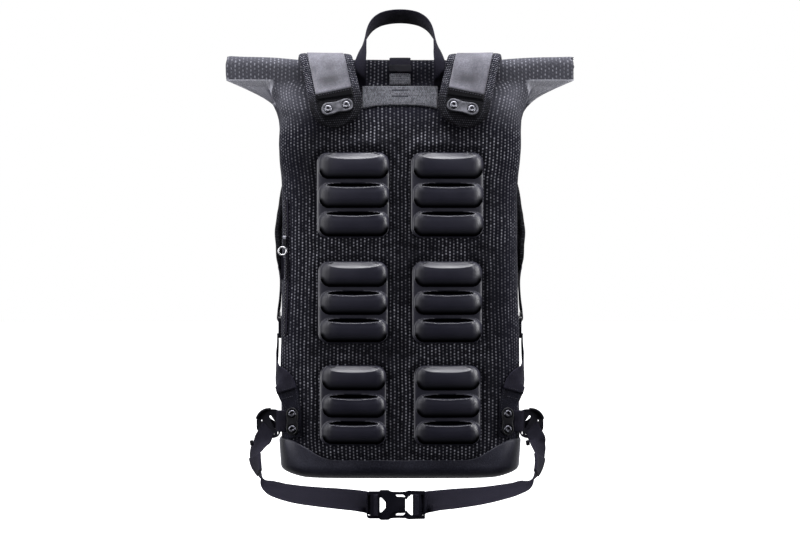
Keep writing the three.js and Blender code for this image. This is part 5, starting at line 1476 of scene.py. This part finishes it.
def makeYoke():
    def place(u, v):
        x = (2 * u - 1) * yoke["half"]
        low = yoke["bottom"] - yoke["drop"] * abs(x / yoke["half"]) ** 3
        z = mix(low, yoke["top"], v)
        edge = min(1, (1 - abs(2 * u - 1)) * 30, v * 22 + 0.02, (1 - v) * 22 + 0.02)
        return Vector((x, panelY(x, z) - yoke["stand"] - yoke["thick"] * ease(edge) ** 0.5, z)) + hang

    def cut(u, v):
        return (2 * u - 1) * yoke["half"], v * (yoke["top"] - yoke["bottom"])

    bm = shapedGrid(72, 28, place, cut)
    addRim(bm, yoke["rim"])
    addPiece("yokeCloth", bm, "yoke", ("yoke_patch",))
    thread = bmesh.new()
    out = Vector((0, -1, 0.2))
    for z in yoke["barTacks"]:
        for k in range(26):
            x = mix(-yoke["tackHalf"], yoke["tackHalf"], k / 25)
            spot = Vector((x, panelY(x, z) - 1.9, z + (0.5 if k % 2 else -0.5))) + hang
            stitch(thread, spot, Vector((0.25, 0, 1)).normalized(), out, *yoke["tackStitch"])
    line = []
    for k in range(41):
        x = mix(-yoke["seamHalf"], yoke["seamHalf"], k / 40)
        z = yoke["bottom"] + yoke["seamUp"] - yoke["drop"] * abs(mix(-1, 1, k / 40)) ** 3
        line.append(Vector((x, panelY(x, z) - 1.75, z)) + hang)
    stitchAlong(thread, line, [out] * len(line), *yoke["stitch"])
    addPiece("yokeStitches", thread, "thread")


def putOnStrap(bm, section, lift):
    placeAt(bm, section["point"] + section["normal"] * lift, Vector((1, 0, 0)), section["normal"])


def makeClosure():
    # the strap, a flat slider on it, the hook that fastens it on the far side, and a grey tab sewn over it
    rows = [(0, y, z, 1, 0, 0) for y, z in closure["route"]]
    route = bandPiece("closureStrap", rows, "closure_strap")
    slider = cutSlab(rounded(rectangle(-13.4, -4, 13.4, 4), 1.3, 4), [], 2.4)
    section = sectionAt(route[:20], closure["sliderZ"])
    putOnStrap(slider, section, closure["sliderLift"])
    addPiece("closureSlider", slider, "acetal", ("closure_slider",), bevel=0.7, segments=3)
    hook = cutSlab(rounded(rectangle(-16, -15, 16, 15), 5, 6),
                   [rounded(rectangle(-12.9, 6.5, 12.9, 10.6), 1.2, 3)], 4.6)
    section = sectionAt(route[20:], closure["hookZ"])
    putOnStrap(hook, section, closure["hookLift"])
    addPiece("closureHook", hook, "acetal", ("closure_buckle",), bevel=1.2, segments=4)
    thread = bmesh.new()
    for z in closure["seams"]:
        section = sectionAt(route[:20], z)
        middle = section["point"] + section["normal"] * closure["sliderLift"]
        points = [middle + section["across"] * a * closure["seamHalf"] for a in (-1, 1)]
        stitchAlong(thread, points, [section["normal"]], *closure["stitch"])
    addPiece("closureStitches", thread, "paleThread")
    low, high = closure["tab"]
    tabRoute = [{**s, "point": s["point"] + s["normal"] * closure["tabLift"]} for s in route
                if low < s["point"].z < high and s["point"].y < 0]
    tab = sweepBand(tabRoute, 44, webbingProfile(closure["tabThick"]))
    addPiece("closureTab", tab, "yoke")


makeYoke()
makeClosure()
handleRows = handle["half"] + [handle["middle"]] + flipX(handle["half"][::-1])
bandPiece("carryHandle", handleRows, "carry_handle", handle["thick"], 2.0)
print("top made")


# Zip and its pull on the left side

zipParts = {"run": 138.4, "top": 330, "bottom": 168, "width": 9, "slider": 280, "toothPitch": 2.2,
            "tapeThick": 1.0, "tooth": (3.0, 1.7), "toothLift": 0.9, "sliderThick": 3.2, "sliderLift": 2.4,
            "ringRadius": 4.7, "wireRadius": 1.0}


def makeZip():
    rows = []
    for k in range(12):
        z = mix(zipParts["bottom"], zipParts["top"], k / 11)
        spot = bagPoint(-zipParts["run"], z, 1.0)
        across = (bagPoint(-zipParts["run"] - 2, z) - bagPoint(-zipParts["run"] + 2, z)).normalized()
        rows.append((*spot, *across, zipParts["width"]))
    route = smoothRoute(rows, 2.5)
    tape = sweepBand(route, 24, webbingProfile(zipParts["tapeThick"]))
    addPiece("zipTape", tape, "webbing", ("side_zip",))
    teeth = bmesh.new()
    pitch = zipParts["toothPitch"]
    count = round(route[-1]["along"] / pitch)
    sign = 1 if route[0]["normal"].x < 0 else -1
    for k in range(count):
        section = route[min(len(route) - 1, round(k / count * (len(route) - 1)))]
        out = section["normal"] * sign
        spot = section["point"] + section["run"] * (k * pitch - section["along"])
        spot += out * zipParts["toothLift"] + section["across"] * (0.8 if k % 2 else -0.8)
        stitch(teeth, spot, section["across"], out, *zipParts["tooth"])
    addPiece("zipTeeth", teeth, "acetal")
    section = sectionAt(route, zipParts["slider"] + hang.z)
    out = section["normal"] * sign
    outline = rounded([(-3.7, -5.6), (3.7, -5.6), (3.7, 2), (2.2, 6), (-2.2, 6), (-3.7, 2)], 1.4, 4)
    slider = cutSlab(outline, [], zipParts["sliderThick"])
    placeAt(slider, section["point"] + out * zipParts["sliderLift"], Vector((0, -1, 0)), out)
    addPiece("zipSlider", slider, "steel", ("zip_slider",), bevel=0.6, segments=3)


def makePull():
    # a split ring through the slider, and a moulded tab on it
    low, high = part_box("pull_ring")
    ring = bmesh.new()
    bmesh.ops.create_circle(ring, segments=14, radius=zipParts["wireRadius"])
    bmesh.ops.translate(ring, vec=(zipParts["ringRadius"], 0, 0), verts=ring.verts)
    # the circle lies in x and y, so the spin about y makes a ring in x and z
    bmesh.ops.spin(ring, geom=ring.verts[:] + ring.edges[:], cent=(0, 0, 0), axis=(0, 1, 0),
                   angle=2 * math.pi, steps=36, use_merge=True)
    bmesh.ops.remove_doubles(ring, verts=ring.verts, dist=1e-4)
    bmesh.ops.translate(ring, vec=(low + high) / 2 * 1000, verts=ring.verts)
    addPiece("pullRing", ring, "ringSteel", ("pull_ring",))
    low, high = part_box("pull_tab")
    size = (high - low) * 1000
    w, h = size.x / 2 - 0.1, size.z / 2
    outline = [(-w * 0.8, -h), (w * 0.8, -h), (w, h * 0.7), (w * 0.6, h), (-w * 0.6, h), (-w, h * 0.7)]
    tab = cutSlab(rounded(outline, 0.8, 3), [], size.y)
    bmesh.ops.translate(tab, vec=(low + high) / 2 * 1000, verts=tab.verts)
    addPiece("pullTab", tab, "acetal", ("pull_tab",), bevel=0.5)


makeZip()
makePull()
print("zip made")


# Stage, lights and camera

stage = {
    "floorZ": -0.72, "floorRadius": 14,
    "lens": 99.05, "sensor": 36, "camera": (0, -2.644, -0.30107),
    # place, aim, size, watts
    "lights": {
        "topSoft": ((0, -0.2, 1.15), (0, -0.05, -0.1), (1.5, 0.6), 36),
        "leftStrip": ((-1.5, -0.5, -0.1), (0, -0.02, -0.3), (0.5, 1.5), 21),
        "rightStrip": ((1.5, -0.5, -0.1), (0, -0.02, -0.3), (0.5, 1.5), 20),
    },
}


def paleFloor(add):
    # white paper that shines a little by itself, so that no edge or shadow shows
    return {"Emission Color": "ffffff", "Emission Strength": 1.0}


def makeFloor():
    bm = bmesh.new()
    bmesh.ops.create_circle(bm, cap_ends=True, segments=64, radius=stage["floorRadius"])
    mesh = bpy.data.meshes.new("floor")
    bm.to_mesh(mesh)
    bm.free()
    mesh.materials.append(makeMaterial("paleFloor", paleFloor, "f2f2f2", 0.9, specular=0.1))
    floor = bpy.data.objects.new("floor", mesh)
    floor.location = (0, 0, stage["floorZ"])
    scene.collection.objects.link(floor)
    floor.visible_diffuse = False
    floor.visible_glossy = False


def makeWorld():
    world = bpy.data.worlds.new("studio")
    world.use_nodes = True
    scene.world = world
    world.node_tree.nodes.clear()
    add = partial(addNode, world.node_tree)
    split = add("SeparateXYZ", [add("TexCoord", out="Generated")], slice(0, 3))
    # white above, behind and at the sides, and dark where the camera stands
    up = add("MapRange", [split[2], 0.2, 1.0, 0.0, 1.1], interpolation_type="SMOOTHSTEP")
    far = add("MapRange", [split[1], -0.12, 0.75, 0.012, 0.9], interpolation_type="SMOOTHSTEP")
    both = add("Math", [up, far], operation="MAXIMUM")
    soft = add("Background", [(0.96, 0.97, 1.0, 1), both])
    white = add("Background", ["ffffff", 1.0])
    seen = add("MixShader", [add("LightPath", out="Is Camera Ray"), soft, white])
    add("OutputWorld", [seen])


def addLight(name, place, aim, size, power):
    light = bpy.data.lights.new(name, "AREA")
    light.shape = "RECTANGLE"
    light.size, light.size_y = size
    light.energy = power
    lamp = bpy.data.objects.new(name, light)
    lamp.location = place
    lamp.rotation_euler = (Vector(aim) - Vector(place)).to_track_quat("-Z", "Y").to_euler()
    scene.collection.objects.link(lamp)


makeFloor()
makeWorld()
for name, values in stage["lights"].items():
    addLight(name, *values)

lens = bpy.data.cameras.new("camera")
lens.sensor_width = stage["sensor"]
lens.lens = stage["lens"]
camera = bpy.data.objects.new("camera", lens)
camera.location = stage["camera"]
camera.rotation_euler = (math.pi / 2, 0, 0)
scene.collection.objects.link(camera)
scene.camera = camera
scene.view_settings.view_transform = "Standard"
print("stage made")
